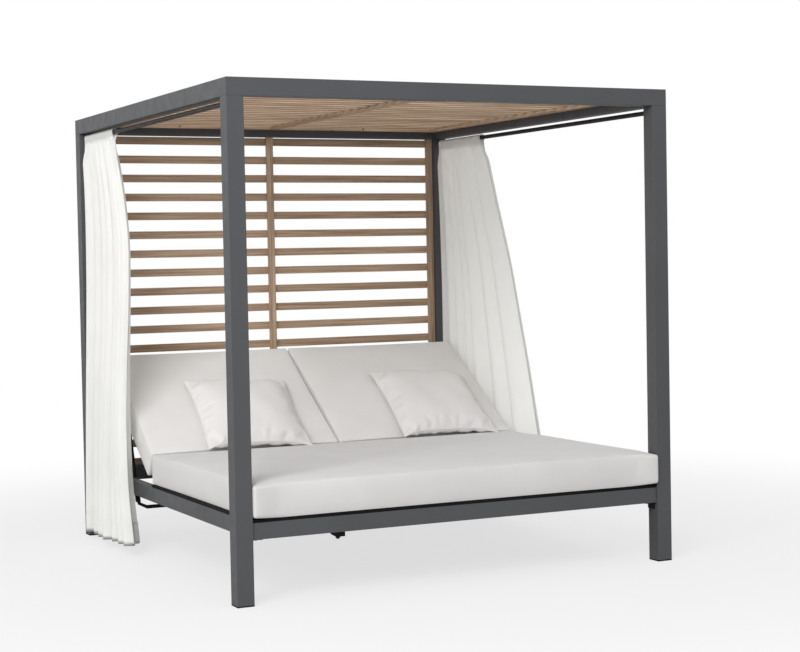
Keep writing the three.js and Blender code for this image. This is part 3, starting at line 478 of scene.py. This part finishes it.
stainless = new_finish("stainless_steel", (0.52, 0.51, 0.49), 0.32, 0.5, 1.0)
dull_spots(stainless, add_noise(stainless, 400.0), 0.25, 0.42)
grid_of_screws = screw_tree()
head_radius, head_height = 0.0042, 0.0009
for name, rows, reach, middle, tilt in (
    ("canopy_slat_screws", roof_slats, 2 * roof_end, (0, 0, roof_high.z), 0.0),
    ("back_slat_screws", back_slats, back_last - back_first,
     (0, back_high.y, (back_first + back_last) / 2), -math.pi / 2),
):
    screws = grown(name, grid_of_screws, {
        "Across": 2 * batten_x, "Up": reach, "Columns": 3, "Rows": rows,
        "Turn": (tilt, 0.0, 0.0), "Middle": middle, "Head radius": head_radius,
        "Head height": head_height, "Finish": stainless,
    })
    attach(screws, "bed_frame")


# Curtain rods and their end cups. Dark coated steel tube, 20 mm across, pushed into a cup that is
# screwed to each post.
for side in ("left", "right"):
    steel_copy("curtain_rod_" + side, smooth=40.0)
for corner in corners:
    steel_copy("rod_socket_" + corner, 0.001)


# Backrest frames, their hinge rod, the props and the guide plates that they run in. Welded steel
# tube, bar and flat plate, in the same black coat. They are mostly under the cushions.
steel_copy("hinge_rod", smooth=40.0)
for side in ("left", "right"):
    steel_copy("backrest_frame_" + side, 0.0008, body="backrest_" + side)
    steel_copy("prop_rod_" + side, smooth=40.0, body="backrest_" + side)
    steel_copy("prop_" + side, smooth=40.0, body="prop_bail_" + side)
    for place in ("outer", "inner"):
        steel_copy(f"guide_plate_{side}_{place}", 0.0006)


# Seat mattress. A foam block in a cover of pale grey outdoor canvas, cut as a top, a bottom and a
# border. The sides pull in a little, the seam stands up as a thin ridge, and the front corners
# stand out past the deck.
def box_lines(half, rounding, spacing):
    """Grid lines from one side to the other, closer together over the rounded edges."""
    inner = half - rounding
    middle = np.linspace(-inner, inner, max(2, round(2 * inner / spacing)) + 1)
    edge = inner + rounding * np.array([0.3, 0.6, 0.86, 1.0])
    return np.concatenate([-edge[::-1], middle, edge])


def boxed_cover(size, rounding, spacing):
    """Points, faces, seam points and face corners' cloth places of a rounded box cover."""
    cloth_apart = 2.0
    half = np.array(size) / 2
    lines = [box_lines(h, rounding, spacing) for h in half]
    last = [len(line) - 1 for line in lines]
    number, points, faces, cloth = {}, [], [], []

    def vertex(i, j, k):
        if (i, j, k) not in number:
            number[i, j, k] = len(points)
            points.append((lines[0][i], lines[1][j], lines[2][k]))
        return number[i, j, k]

    for axis in range(3):
        a, b = (axis + 1) % 3, (axis + 2) % 3
        for end in (0, last[axis]):
            for p in range(last[a]):
                for q in range(last[b]):
                    ring = [(p, q), (p + 1, q), (p + 1, q + 1), (p, q + 1)]
                    if end == 0:
                        ring.reverse()
                    face = []
                    for u, v in ring:
                        at = [0, 0, 0]
                        at[axis], at[a], at[b] = end, u, v
                        face.append(vertex(*at))
                        cloth.append((lines[a][u] + cloth_apart * axis, lines[b][v]))
                    faces.append(face)
    points = np.array(points)
    inner = np.clip(points, rounding - half, half - rounding)
    out = points - inner
    length = np.linalg.norm(out, axis=1, keepdims=True)
    rounded = inner + out / np.maximum(length, 1e-9) * rounding
    on_edge = np.abs(np.abs(points[:, 2]) - half[2]) < 1e-6
    on_side = (np.abs(np.abs(points[:, 0]) - half[0]) < 1e-6) | (
        np.abs(np.abs(points[:, 1]) - half[1]) < 1e-6
    )
    return rounded, faces, on_edge & on_side, cloth


def filled(points, size, seam, crown, draw_in, ridge=0.0016):
    """The cover on its filling: a crowned top, sides that pull in, and a ridge along the seam."""
    half = np.array(size) / 2
    u, v = points[:, 0] / half[0], points[:, 1] / half[1]
    u, v = np.clip(u, -1, 1), np.clip(v, -1, 1)
    shaped = points.copy()
    shaped[:, 0] *= 1 - draw_in / half[0] * (1 - v * v)
    shaped[:, 1] *= 1 - draw_in / half[1] * (1 - u * u)
    shaped[:, 2] += crown * (1 - u * u) * (1 - v * v) * np.clip(points[:, 2] / half[2], 0, 1)
    shaped[seam, 2] += ridge * np.sign(points[seam, 2])
    return shaped


def sewn(name, points, faces, cloth, finish):
    """A smooth piece in one finish, with each face corner's place on the flat cloth."""
    mesh = bpy.data.meshes.new(name)
    mesh.from_pydata([tuple(p) for p in points], [], faces)
    uv = mesh.uv_layers.new(name="cloth")
    uv.data.foreach_set("uv", np.array(cloth, np.float32).ravel())
    mesh.shade_smooth()
    mesh.materials.append(finish)
    return placed(name, mesh)


def blown(piece, pressure, most, held, stiffness=20.0, bending=1.0, spare=0.0):
    """The cover under its filling's pressure: cloth simulation, with no point moving over most.
    Spare is the share of cloth that the seam gathers, which makes the wrinkles."""
    rest = np.array([v.co for v in piece.data.vertices])
    cloth = piece.modifiers.new("cloth", "CLOTH")
    settings = cloth.settings
    settings.quality = 5
    settings.mass = 0.3
    settings.tension_stiffness = stiffness
    settings.compression_stiffness = stiffness
    settings.shear_stiffness = stiffness / 2
    settings.bending_stiffness = bending
    settings.use_pressure = True
    settings.uniform_pressure_force = pressure
    settings.effector_weights.gravity = 0.0
    settings.shrink_min = -spare
    group = piece.vertex_groups.new(name="held")
    group.add([int(i) for i in np.flatnonzero(held)], 1.0, "REPLACE")
    settings.vertex_group_mass = "held"
    settings.pin_stiffness = 5.0
    steps = 20
    cloth.point_cache.frame_start, cloth.point_cache.frame_end = 1, steps
    for step in range(1, steps + 1):
        bpy.context.scene.frame_set(step)
    seen = piece.evaluated_get(bpy.context.evaluated_depsgraph_get())
    pushed = np.array([v.co for v in seen.data.vertices])
    piece.modifiers.remove(cloth)
    piece.vertex_groups.remove(group)
    bpy.context.scene.frame_set(1)
    move = pushed - rest
    length = np.maximum(np.linalg.norm(move, axis=1, keepdims=True), 1e-9)
    move *= most * np.tanh(length / most) / length
    piece.data.vertices.foreach_set("co", (rest + move).astype(np.float32).ravel())
    piece.data.update()


def smoothed(piece, seam, crease=0.85):
    """Subdivides the cover once, with the seam kept crisp, and leaves a plain mesh."""
    sharp = piece.data.attributes.new("crease_edge", "FLOAT", "EDGE")
    ends = np.zeros(len(piece.data.edges) * 2, int)
    piece.data.edges.foreach_get("vertices", ends)
    ends = ends.reshape(-1, 2)
    sharp.data.foreach_set("value", (seam[ends].all(1) * crease).astype(np.float32))
    finer = piece.modifiers.new("finer", "SUBSURF")
    finer.levels = finer.render_levels = 1
    seen = piece.evaluated_get(bpy.context.evaluated_depsgraph_get())
    mesh = bpy.data.meshes.new_from_object(seen)
    mesh.name = piece.data.name
    piece.modifiers.clear()
    piece.data = mesh
    piece.data.shade_smooth()


def canvas_finish(name, deep, pale):
    """Outdoor canvas: a plain weave of thick yarn, matt, with a soft sheen on the edges."""
    finish = new_finish(name, pale, 0.85, 0.25)
    tree = finish.node_tree
    shader = tree.nodes["Principled BSDF"]
    shader.inputs["Sheen Weight"].default_value = 0.15
    shader.inputs["Sheen Roughness"].default_value = 0.5
    tint(finish, add_noise(finish, 5.0, detail=4.0), (deep, pale))
    place = tree.nodes.new("ShaderNodeUVMap")
    place.uv_map = "cloth"
    yarns = []
    for direction in ("X", "Y"):
        yarn = tree.nodes.new("ShaderNodeTexWave")
        yarn.bands_direction = direction
        yarn.inputs["Scale"].default_value = 190.0
        yarn.inputs["Distortion"].default_value = 0.6
        yarn.inputs["Detail"].default_value = 1.0
        tree.links.new(place.outputs["UV"], yarn.inputs["Vector"])
        yarns.append(yarn.outputs["Fac"])
    weave = math_node(tree, "MULTIPLY")
    tree.links.new(yarns[0], weave.inputs[0])
    tree.links.new(yarns[1], weave.inputs[1])
    relief(finish, weave.outputs["Value"], 0.35, 0.0005)
    return finish


def near(values, centre, reach):
    """One at the centre, and falling to nothing beyond the reach."""
    return np.exp(-((values - centre) / reach) ** 2)


def level_edges(points, size, lift, rear, fade, corner):
    """Lifts the seam ahead of the rear line by the lift, except at the front corners."""
    half = np.array(size) / 2
    u, v = np.clip(points[:, 0] / half[0], -1, 1), np.clip(points[:, 1] / half[1], -1, 1)
    at_corner = near(np.hypot((1 - np.abs(u)) * half[0], (1 + v) * half[1]), 0, corner)
    at_edge = (1 - (1 - u * u) * (1 - v * v)) * np.clip(points[:, 2] / half[2], 0, 1)
    shaped = points.copy()
    shaped[:, 2] += lift * at_edge * np.clip((rear - points[:, 1]) / fade, 0, 1) * (1 - at_corner)
    return shaped


def front_corners(points, size, forward, pinch, spread, outward, tip, gap):
    """Pushes the front corners forward and out to the posts, and pinches them from below."""
    half = np.array(size) / 2
    away = np.hypot(half[0] - np.abs(points[:, 0]), points[:, 1] + half[1])
    at_corner = near(away, 0, spread)
    wider = np.abs(points[:, 0]) + outward * near(away, 0, tip)
    shaped = points.copy()
    shaped[:, 0] = np.sign(points[:, 0]) * np.minimum(wider, half[0] + gap)
    shaped[:, 1] -= forward * at_corner
    shaped[:, 2] += pinch * at_corner * np.clip(0.5 - points[:, 2] / size[2], 0, 1)
    return shaped


seat_canvas = canvas_finish("seat_canvas", (0.600, 0.592, 0.588), (0.635, 0.627, 0.622))
mattress_low, mattress_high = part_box("seat_mattress")
mattress_thickness, mattress_crown, mattress_draw_in = 0.132, 0.006, 0.006
mattress_size = (
    mattress_high.x - mattress_low.x, mattress_high.y - mattress_low.y, mattress_thickness,
)
points, faces, seam, cloth = boxed_cover(mattress_size, rounding=0.014, spacing=0.018)
points = filled(points, mattress_size, seam, mattress_crown, mattress_draw_in)
points = level_edges(points, mattress_size, mattress_crown, rear=0.48, fade=0.2, corner=0.075)
points = front_corners(
    points, mattress_size, forward=0.016, pinch=0.007, spread=0.075, outward=0.0035, tip=0.02,
    gap=0.0008,
)
corner_reach = 0.012
upright_corners = (np.abs(points[:, 0]) > mattress_size[0] / 2 - corner_reach) & (
    np.abs(points[:, 1]) > mattress_size[1] / 2 - corner_reach
)
points += np.array([
    (mattress_low.x + mattress_high.x) / 2, (mattress_low.y + mattress_high.y) / 2,
    mattress_low.z + mattress_thickness / 2,
])
mattress = sewn("seat_mattress_cover", points, faces, cloth, seat_canvas)
blown(mattress, pressure=2.0, most=0.004, held=seam | upright_corners)
smoothed(mattress, seam)
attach(mattress, "bed_frame")
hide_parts("seat_mattress")


# Backrest cushions. Two boxed foam cushions in a slightly paler canvas, one on each hinged frame,
# which lie back at about a third of a right angle. They meet in the middle of the bed.
canvas = canvas_finish("pale_grey_canvas", (0.685, 0.672, 0.660), (0.725, 0.712, 0.700))
recline = math.radians(33.5)
hinge = Vector((0.0, 0.248, 0.2885))
tipped = Matrix.Translation(hinge) @ Matrix.Rotation(recline, 4, "X")
cushion_size = (0.922, 0.763, 0.127)
cushion_aside, cushion_up, frame_top = 0.464, 0.44664, 0.0448
for side, sign in (("left", -1), ("right", 1)):
    points, faces, seam, cloth = boxed_cover(cushion_size, rounding=0.010, spacing=0.015)
    points = filled(points, cushion_size, seam, crown=0.007, draw_in=0.005, ridge=0.0012)
    cushion = sewn(f"back_cushion_{side}_cover", points, faces, cloth, canvas)
    blown(cushion, pressure=2.0, most=0.003, held=seam)
    smoothed(cushion, seam)
    middle = (sign * cushion_aside, cushion_up, frame_top + cushion_size[2] / 2)
    cushion.data.transform(tipped @ Matrix.Translation(middle))
    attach(cushion, "cushion_" + side)
    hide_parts("back_cushion_" + side)


# Scatter pillows. Two squares of canvas sewn round the edge and filled with loose fibre, so they
# have sharp edges, pointed corners and short wrinkles along the seam. They lean on the backrests,
# and their lower edges rest on the mattress.
pillow_width, pillow_cells, pillow_draw_in = 0.505, 48, 0.013
pillow_half, pillow_front, seam_radius = 0.070, 0.080, 0.0018
foot_pucker, side_pucker = 0.0024, 0.0018
underside_tuck, foot_lift, ear_forward, ear_drop, lumps = 0.017, 0.018, 0.020, 0.008, 0.03
backrest_face, seat_sink = -0.0215, 0.0015


def pillow_case():
    """Points, faces, rim and cloth places of two squares joined round the rim and filled."""
    span = np.linspace(-1, 1, pillow_cells + 1)
    span = 0.8 * span + 0.2 * np.sin(span * math.pi / 2)
    points, faces, cloth, number = [], [], [], {}

    def corner(face_side, i, j):
        rim = i in (0, pillow_cells) or j in (0, pillow_cells)
        return (0 if rim else face_side, i, j)

    for face_side in (1, -1):
        for i, u in enumerate(span):
            for j, v in enumerate(span):
                if corner(face_side, i, j) in number:
                    continue
                number[corner(face_side, i, j)] = len(points)
                rise = ((1 - abs(u) ** 3) * (1 - abs(v) ** 3)) ** 0.6
                rise *= 1 + lumps * (math.sin(9 * u + 4 * v) + math.sin(7 * v - 5 * u))
                points.append((
                    pillow_width / 2 * u - pillow_draw_in * u * (1 - v * v),
                    pillow_width / 2 * v - pillow_draw_in * v * (1 - u * u),
                    face_side * pillow_half * rise,
                ))
        for i in range(pillow_cells):
            for j in range(pillow_cells):
                ring = [(i, j), (i + 1, j), (i + 1, j + 1), (i, j + 1)][::face_side]
                faces.append([number[corner(face_side, *at)] for at in ring])
                cloth += [tuple(pillow_width / 2 * span[list(at)]) for at in ring]
    rim = np.zeros(len(points), bool)
    rim[[at for key, at in number.items() if key[0] == 0]] = True
    return np.array(points), faces, rim, cloth


def settled(heights, ground, softness=0.004):
    """Heights that come to rest just above the ground instead of passing through it."""
    low = heights < ground + softness
    pressed = ground + softness * np.exp((heights - ground - softness) / softness)
    return np.where(low, pressed, heights)


def sewn_edge(name, shape, mesh, rim, radius):
    """A thin rounded edge along the seam, where the two squares are stitched and turned."""
    after = {}
    for edge in mesh.edges:
        a, b = edge.vertices
        if rim[a] and rim[b]:
            after.setdefault(a, []).append(b)
            after.setdefault(b, []).append(a)
    start = next(iter(after))
    line, here, last = [start], after[start][0], start
    while here != start:
        line.append(here)
        here, last = next(n for n in after[here] if n != last), here
    path = shape[line]
    ahead = np.roll(path, -1, 0) - np.roll(path, 1, 0)
    ahead /= np.linalg.norm(ahead, axis=1, keepdims=True)
    out = path - path.mean(0)
    out -= (out * ahead).sum(1, keepdims=True) * ahead
    out /= np.linalg.norm(out, axis=1, keepdims=True)
    over = np.cross(ahead, out)
    sides, count = 8, len(path)
    turns = np.arange(sides) * 2 * math.pi / sides
    ring = [path + radius * (out * math.cos(a) + over * math.sin(a)) for a in turns]
    faces = [
        [i * count + j, i * count + (j + 1) % count,
         (i + 1) % sides * count + (j + 1) % count, (i + 1) % sides * count + j]
        for i in range(sides) for j in range(count)
    ]
    walked = np.concatenate([[0], np.cumsum(np.linalg.norm(np.roll(path, -1, 0) - path, axis=1))])
    cloth = [
        (walked[j + step], 2 * radius * (i + rise))
        for i in range(sides) for j in range(count)
        for step, rise in ((0, 0), (1, 0), (1, 1), (0, 1))
    ]
    cord = sewn(name, np.concatenate(ring), faces, cloth, canvas)
    solid = bmesh.new()
    solid.from_mesh(cord.data)
    bmesh.ops.recalc_face_normals(solid, faces=solid.faces)
    solid.to_mesh(cord.data)
    solid.free()
    return cord


for side, place, lean, soft_corner in (
    ("left", (-0.400, 0.28464, 0.20473), math.radians(-4.0), 0.01),
    ("right", (0.580, 0.28464, 0.20444), math.radians(-2.5), 0.07),
):
    points, faces, rim, cloth = pillow_case()
    pillow = sewn(f"pillow_{side}_cover", points, faces, cloth, canvas)
    blown(pillow, pressure=3.0, most=0.012, held=rim, stiffness=12.0, bending=0.05, spare=0.05)
    shape = np.array([v.co for v in pillow.data.vertices])
    shape[:, 2] *= pillow_front / shape[:, 2].max()

    u, v = points[:, 0] / (pillow_width / 2), points[:, 1] / (pillow_width / 2)
    top_corner = np.clip(u - 0.4, 0, 1) ** 2 * np.clip(v - 0.4, 0, 1) ** 2 / 0.6 ** 4
    shape[:, :2] *= 1 - soft_corner * top_corner[:, None]
    puckers = foot_pucker * np.sin(24.0 * u + 1.8 * np.sin(5.1 * u + 40.0 * lean))
    near_foot = near(v, -0.9, 0.14) * (1 - u ** 4)
    near_sides = near(np.abs(u), 0.9, 0.14) * (1 - v ** 4)
    side_puckers = side_pucker * np.sin(15.0 * v + 1.5 * np.sin(5.0 * v + 3.0 * u))
    shape[:, 2] += (near_foot * puckers + near_sides * side_puckers) * (~rim)
    underside = (points[:, 2] < 0) & (~rim)
    shape[:, 1] -= underside_tuck * underside * near(v, -0.92, 0.10) * (1 - u ** 4)
    shape[:, 2] += foot_lift * near(v, -1, 0.22) * (1 - u ** 4)
    shape[:, 2] = settled(shape[:, 2], backrest_face)
    pillow.data.vertices.foreach_set("co", shape.astype(np.float32).ravel())
    pillow.data.transform(tipped @ Matrix.Translation(place) @ Matrix.Rotation(lean, 4, "Z"))

    shape = np.array([vertex.co for vertex in pillow.data.vertices])
    ears = np.clip((-v - 0.55) / 0.45, 0, 1) ** 2 * np.clip((np.abs(u) - 0.45) / 0.55, 0, 1) ** 2
    shape[:, 1] -= ear_forward * ears
    shape[:, 2] -= ear_drop * ears
    seat_top = mattress_low.z + mattress_thickness + mattress_crown
    shape[:, 2] = settled(shape[:, 2], seat_top - seat_sink)
    pillow.data.vertices.foreach_set("co", shape.astype(np.float32).ravel())
    edge_cord = sewn_edge(f"pillow_{side}_seam", shape, pillow.data, rim, seam_radius)
    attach(edge_cord, "cushion_" + side)
    smoothed(pillow, rim, 1.0)
    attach(pillow, "cushion_" + side)
    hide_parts("pillow_" + side)


# Curtains. Each is one width of white voile with a sleeve sewn along the top, gathered on the rod,
# narrow side hems and a broad hem at the foot. They are drawn back to the rear posts and hang free.
voile = new_finish("white_voile", (0.94, 0.94, 0.925), 0.9, 0.2)
tint(voile, add_noise(voile, 8.0), ((0.925, 0.925, 0.910), (0.955, 0.955, 0.940)))
threads = add_noise(voile, 300.0, (1.0, 1.0, 0.05), detail=2.0)
relief(voile, threads, 0.15, 0.0005)
voile_nodes = voile.node_tree.nodes
voile_through, voile_mix = new_nodes(voile, "BsdfTranslucent", "MixShader")
voile_through.inputs["Color"].default_value = (0.95, 0.95, 0.935, 1.0)
voile_mix.inputs["Fac"].default_value = 0.48
join(voile, (
    (voile_nodes["Principled BSDF"].outputs["BSDF"], voile_mix.inputs[1]),
    (voile_through.outputs["BSDF"], voile_mix.inputs[2]),
    (voile_mix.outputs["Shader"], voile_nodes["Material Output"].inputs["Surface"]),
))

rod_x, rod_z, rod_radius = 0.965, 1.936, 0.010
curtain_rear, curtain_foot, sheet_top = 0.975, 0.038, 1.9245
sleeve_drop, sleeve_slack, sleeve_fullness, ruffle_height = 0.038, 0.0022, 0.15, 0.0020
hem_outward, gathers, gather_depth = 0.030, 17, 0.0075
gather_fade, sleeve_fade, fold_wander, fold_unevenness = 0.07, 0.10, 0.009, 0.25
fold_start, fold_growth, crest_softness, crest_power = 0.3, 0.05, 0.01, 1.15
foot_hem, side_hem, hem_gap, cloth_thickness = 0.095, 0.028, 0.0017, 0.0012
loop_rows, hem_rows = 13, 7
fold_depth_down = ((0, 0.004), (0.03, 0.0292), (0.4, 0.0313), (1, 0.046))
# Widths are shares of the top width, down the height. Folds give a fold's number and its place,
# and depths the share of the full depth, across the width.
curtain_forms = {
    "left": {
        "top": 0.462,
        "widths": (
            (0, 1.01), (0.05, 1.11), (0.14, 1.31), (0.265, 1.475), (0.41, 1.455), (0.6, 1.36),
            (0.72, 1.335), (0.87, 1.39), (1, 1.58),
        ),
        "folds": ((0.25, 0), (7.30, 1)),
        "depths": ((0, 1), (0.15, 1), (0.3, 0.35), (0.7, 0.35), (0.82, 0.8), (1, 1)),
    },
    "right": {
        "top": 0.454,
        "widths": (
            (0, 1.04), (0.064, 1.155), (0.147, 1.26), (0.352, 1.585), (0.514, 1.77),
            (0.638, 1.915), (0.759, 2.035), (1, 2.28),
        ),
        "folds": (
            (0, 0), (1, 0.1), (2, 0.2), (3, 0.31), (4, 0.43), (5, 0.63), (6, 0.8), (6.75, 1),
        ),
        "depths": ((0, 0.65), (0.43, 0.65), (0.63, 1), (1, 1)),
    },
}


def read_shares(shares, t):
    """The value at t of a line through these pairs of share and value."""
    return np.interp(t, [share for share, value in shares], [value for share, value in shares])


def eased_line(values, reach):
    """The line with its corners rounded over that many points each way, its ends kept."""
    padded = np.pad(values, reach, mode="reflect", reflect_type="odd")
    return np.convolve(padded, np.ones(2 * reach + 1) / (2 * reach + 1), mode="valid")


def curtain_points(side, sign, rows, columns):
    """The cloth from the sleeve's seam, over the rod, down to the foot and up inside its hem."""
    form = curtain_forms[side]
    top_width, widths, fold_places = form["top"], form["widths"], form["folds"]
    fold = np.linspace(fold_places[0][0], fold_places[-1][0], columns + 1)
    s = eased_line(read_shares(fold_places, fold), columns // 30)
    s += fold_wander * np.sin(2.3 * fold + sign) * np.sin(np.pi * s)
    down = np.linspace(0, 1, rows + 1)
    width_down = top_width * eased_line(read_shares(widths, down), rows // 18)
    across = eased_line(read_shares(form["depths"], s), columns // 20)
    uneven = 1 + fold_unevenness * np.sin(1.9 * fold + 0.7) * np.sin(np.pi * s)
    crest = 2 * np.sqrt(np.cos(np.pi * fold) ** 2 + crest_softness) ** crest_power - 1
    fine = np.sin(2 * np.pi * gathers * s + 1.7 * np.sin(2 * np.pi * 2.2 * s))
    spread = top_width * (widths[-1][1] - 1) * s
    drop = np.sqrt((sheet_top - curtain_foot) ** 2 - spread ** 2)
    seam_share = (sheet_top - rod_z + sleeve_drop) / (sheet_top - curtain_foot)
    reach = rod_radius + sleeve_slack

    def hanging(t):
        depth = read_shares(fold_depth_down, t) * (across + (1 - across) * t * t)
        grown = np.clip((t - seam_share) / fold_growth, 0, 1)
        depth *= uneven * (fold_start + (1 - fold_start) * grown * grown * (3 - 2 * grown))
        below = max(t - seam_share, 0)
        gathered = gather_depth * math.exp(-below / gather_fade)
        facing = reach * math.exp(-below / sleeve_fade)
        return np.stack([
            sign * (rod_x + hem_outward * t) - facing - depth * crest + gathered * fine,
            curtain_rear - np.interp(t, down, width_down) * s,
            sheet_top - drop * t,
        ], 1)

    seam = hanging(seam_share)
    tucked = (reach - hem_gap, -sleeve_drop)
    behind = math.atan2(tucked[1], tucked[0]) - math.acos(reach / math.hypot(*tucked))
    angles = np.linspace(2 * math.pi + behind, 0, loop_rows)
    loop = [(reach * math.cos(angle), reach * math.sin(angle)) for angle in angles]
    for share in (0.4, 1.0):
        loop.insert(0, tuple(a + (b - a) * share for a, b in zip(loop[0], tucked)))
    loop += [(reach, -sleeve_drop * share) for share in (0.35, 0.7)]
    points = []
    for out, up in loop:
        follow = np.clip(-up / sleeve_drop, 0, 1) ** 2
        ruffle = ruffle_height * (1 + fine) * np.clip(1 + up / reach, 0, 1)
        full = 1 + sleeve_fullness * (1 + fine)
        points.append(np.stack([
            sign * rod_x - out * full + (seam[:, 0] - sign * rod_x + reach * full) * follow,
            seam[:, 1] * follow + (curtain_rear - top_width * s) * (1 - follow),
            rod_z + up + ruffle + (seam[:, 2] - rod_z + sleeve_drop) * follow,
        ], 1))
    for t in seam_share + (1 - seam_share) * down:
        points.append(hanging(t))
    hem_share = foot_hem / (sheet_top - curtain_foot)
    for t in np.linspace(1, 1 - hem_share, hem_rows)[1:]:
        points.append(hanging(t) - np.array([sign * hem_gap, 0, 0]))
    return np.array(points)


def hemmed_sides(points, sign, gauge=40):
    """Adds the narrow hem along both side edges, turned inside, as wide as at the gauge row."""
    turned = []
    for edge, step in ((0, 1), (-1, -1)):
        spacing = np.linalg.norm(points[gauge, edge + step] - points[gauge, edge])
        steps = max(2, int(side_hem / spacing))
        back = [points[:, edge + step * n] for n in range(steps, 0, -1)]
        turned.append(np.stack(back, 1) - np.array([sign * hem_gap * 1.2, 0, 0]))
    return np.concatenate([turned[0], points, turned[1][:, ::-1]], 1)


for side, sign in (("left", -1), ("right", 1)):
    points = hemmed_sides(curtain_points(side, sign, rows=84, columns=230), sign)
    row_count, column_count = points.shape[:2]
    faces = []
    for r in range(row_count - 1):
        for c in range(column_count - 1):
            first = r * column_count + c
            ring = [first, first + 1, first + column_count + 1, first + column_count]
            faces.append(ring if sign < 0 else ring[::-1])
    down_lengths = np.linalg.norm(np.diff(points, axis=0), axis=2).mean(1)
    down_place = np.concatenate([[0], np.cumsum(down_lengths)])
    across_lengths = np.linalg.norm(np.diff(points, axis=1), axis=2)
    flat_width = float(across_lengths.sum(1)[row_count // 2:].mean())
    cloth = [
        (flat_width * (i % column_count) / (column_count - 1), down_place[i // column_count])
        for face in faces for i in face
    ]
    curtain = sewn(f"curtain_{side}_cloth", points.reshape(-1, 3), faces, cloth, voile)
    thickness = curtain.modifiers.new("thickness", "SOLIDIFY")
    thickness.thickness = cloth_thickness
    thickness.offset = 0.0
    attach(curtain, "curtain_slide_" + side)
    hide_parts("curtain_" + side)


# Floor, backdrop and lamps. A pale floor that keeps the bed's shadow, white all round it, and soft
# light from a large lamp in front and to the left, a weak one above, and the sky as fill.
far = 40.0
floor_mesh = bpy.data.meshes.new("studio_floor")
floor_mesh.from_pydata(
    [(-far, -far, 0), (far, -far, 0), (far, far, 0), (-far, far, 0)], [], [(0, 1, 2, 3)]
)
floor = placed("studio_floor", floor_mesh)
floor_paint = new_finish("pale_floor", (0.62, 0.62, 0.62), 0.9, 0.0)
floor_tree = floor_paint.node_tree
floor_place, floor_fade, floor_rays, floor_white, floor_mix = new_nodes(
    floor_paint, "TexCoord", "MapRange", "LightPath", "Emission", "MixShader"
)
floor_far = math_node(floor_tree, "LENGTH", "ShaderNodeVectorMath")
floor_fade.interpolation_type = "SMOOTHSTEP"
for name, value in (("From Min", 1.6), ("From Max", 4.5), ("To Min", 0.70), ("To Max", 1.0)):
    floor_fade.inputs[name].default_value = value
floor_seen = math_node(floor_tree, "MAXIMUM")
floor_share = math_node(floor_tree, "MULTIPLY")
join(floor_paint, (
    (floor_place.outputs["Object"], floor_far.inputs[0]),
    (floor_far.outputs["Value"], floor_fade.inputs["Value"]),
    (floor_rays.outputs["Is Camera Ray"], floor_seen.inputs[0]),
    (floor_rays.outputs["Is Transmission Ray"], floor_seen.inputs[1]),
    (floor_fade.outputs["Result"], floor_share.inputs[0]),
    (floor_seen.outputs["Value"], floor_share.inputs[1]),
    (floor_share.outputs["Value"], floor_mix.inputs["Fac"]),
    (floor_tree.nodes["Principled BSDF"].outputs["BSDF"], floor_mix.inputs[1]),
    (floor_white.outputs["Emission"], floor_mix.inputs[2]),
    (floor_mix.outputs["Shader"], floor_tree.nodes["Material Output"].inputs["Surface"]),
))
floor.data.materials.append(floor_paint)

air = bpy.data.worlds.new("studio_air")
bpy.context.scene.world = air
air.use_nodes = True
air.node_tree.nodes.clear()
rays, sky, white, choice, air_out = new_nodes(
    air, "LightPath", "Background", "Background", "MixShader", "OutputWorld"
)
seen_white = math_node(air.node_tree, "MAXIMUM")
seen_through = math_node(air.node_tree, "MAXIMUM")
for light, strength in ((sky, 0.58), (white, 1.0)):
    light.inputs["Color"].default_value = (1.0, 1.0, 1.0, 1.0)
    light.inputs["Strength"].default_value = strength
join(air, (
    (rays.outputs["Is Camera Ray"], seen_white.inputs[0]),
    (rays.outputs["Is Glossy Ray"], seen_white.inputs[1]),
    (seen_white.outputs["Value"], seen_through.inputs[0]),
    (rays.outputs["Is Transmission Ray"], seen_through.inputs[1]),
    (seen_through.outputs["Value"], choice.inputs["Fac"]),
    (sky.outputs["Background"], choice.inputs[1]),
    (white.outputs["Background"], choice.inputs[2]),
    (choice.outputs["Shader"], air_out.inputs["Surface"]),
))

lamps_aim_at = Vector((0.0, 0.0, 0.8))
for name, place, size, power in (
    ("key_lamp", (-6.0, -6.3, 5.5), 4.5, 690.0),
    ("top_lamp", (0.5, -1.5, 7.0), 6.0, 60.0),
):
    lamp = placed(name, bpy.data.lights.new(name, "AREA"))
    lamp.data.size = size
    lamp.data.energy = power
    lamp.location = place
    aim = lamps_aim_at - Vector(place)
    lamp.rotation_euler = aim.to_track_quat("-Z", "Y").to_euler()

bpy.context.scene.view_settings.view_transform = "Standard"
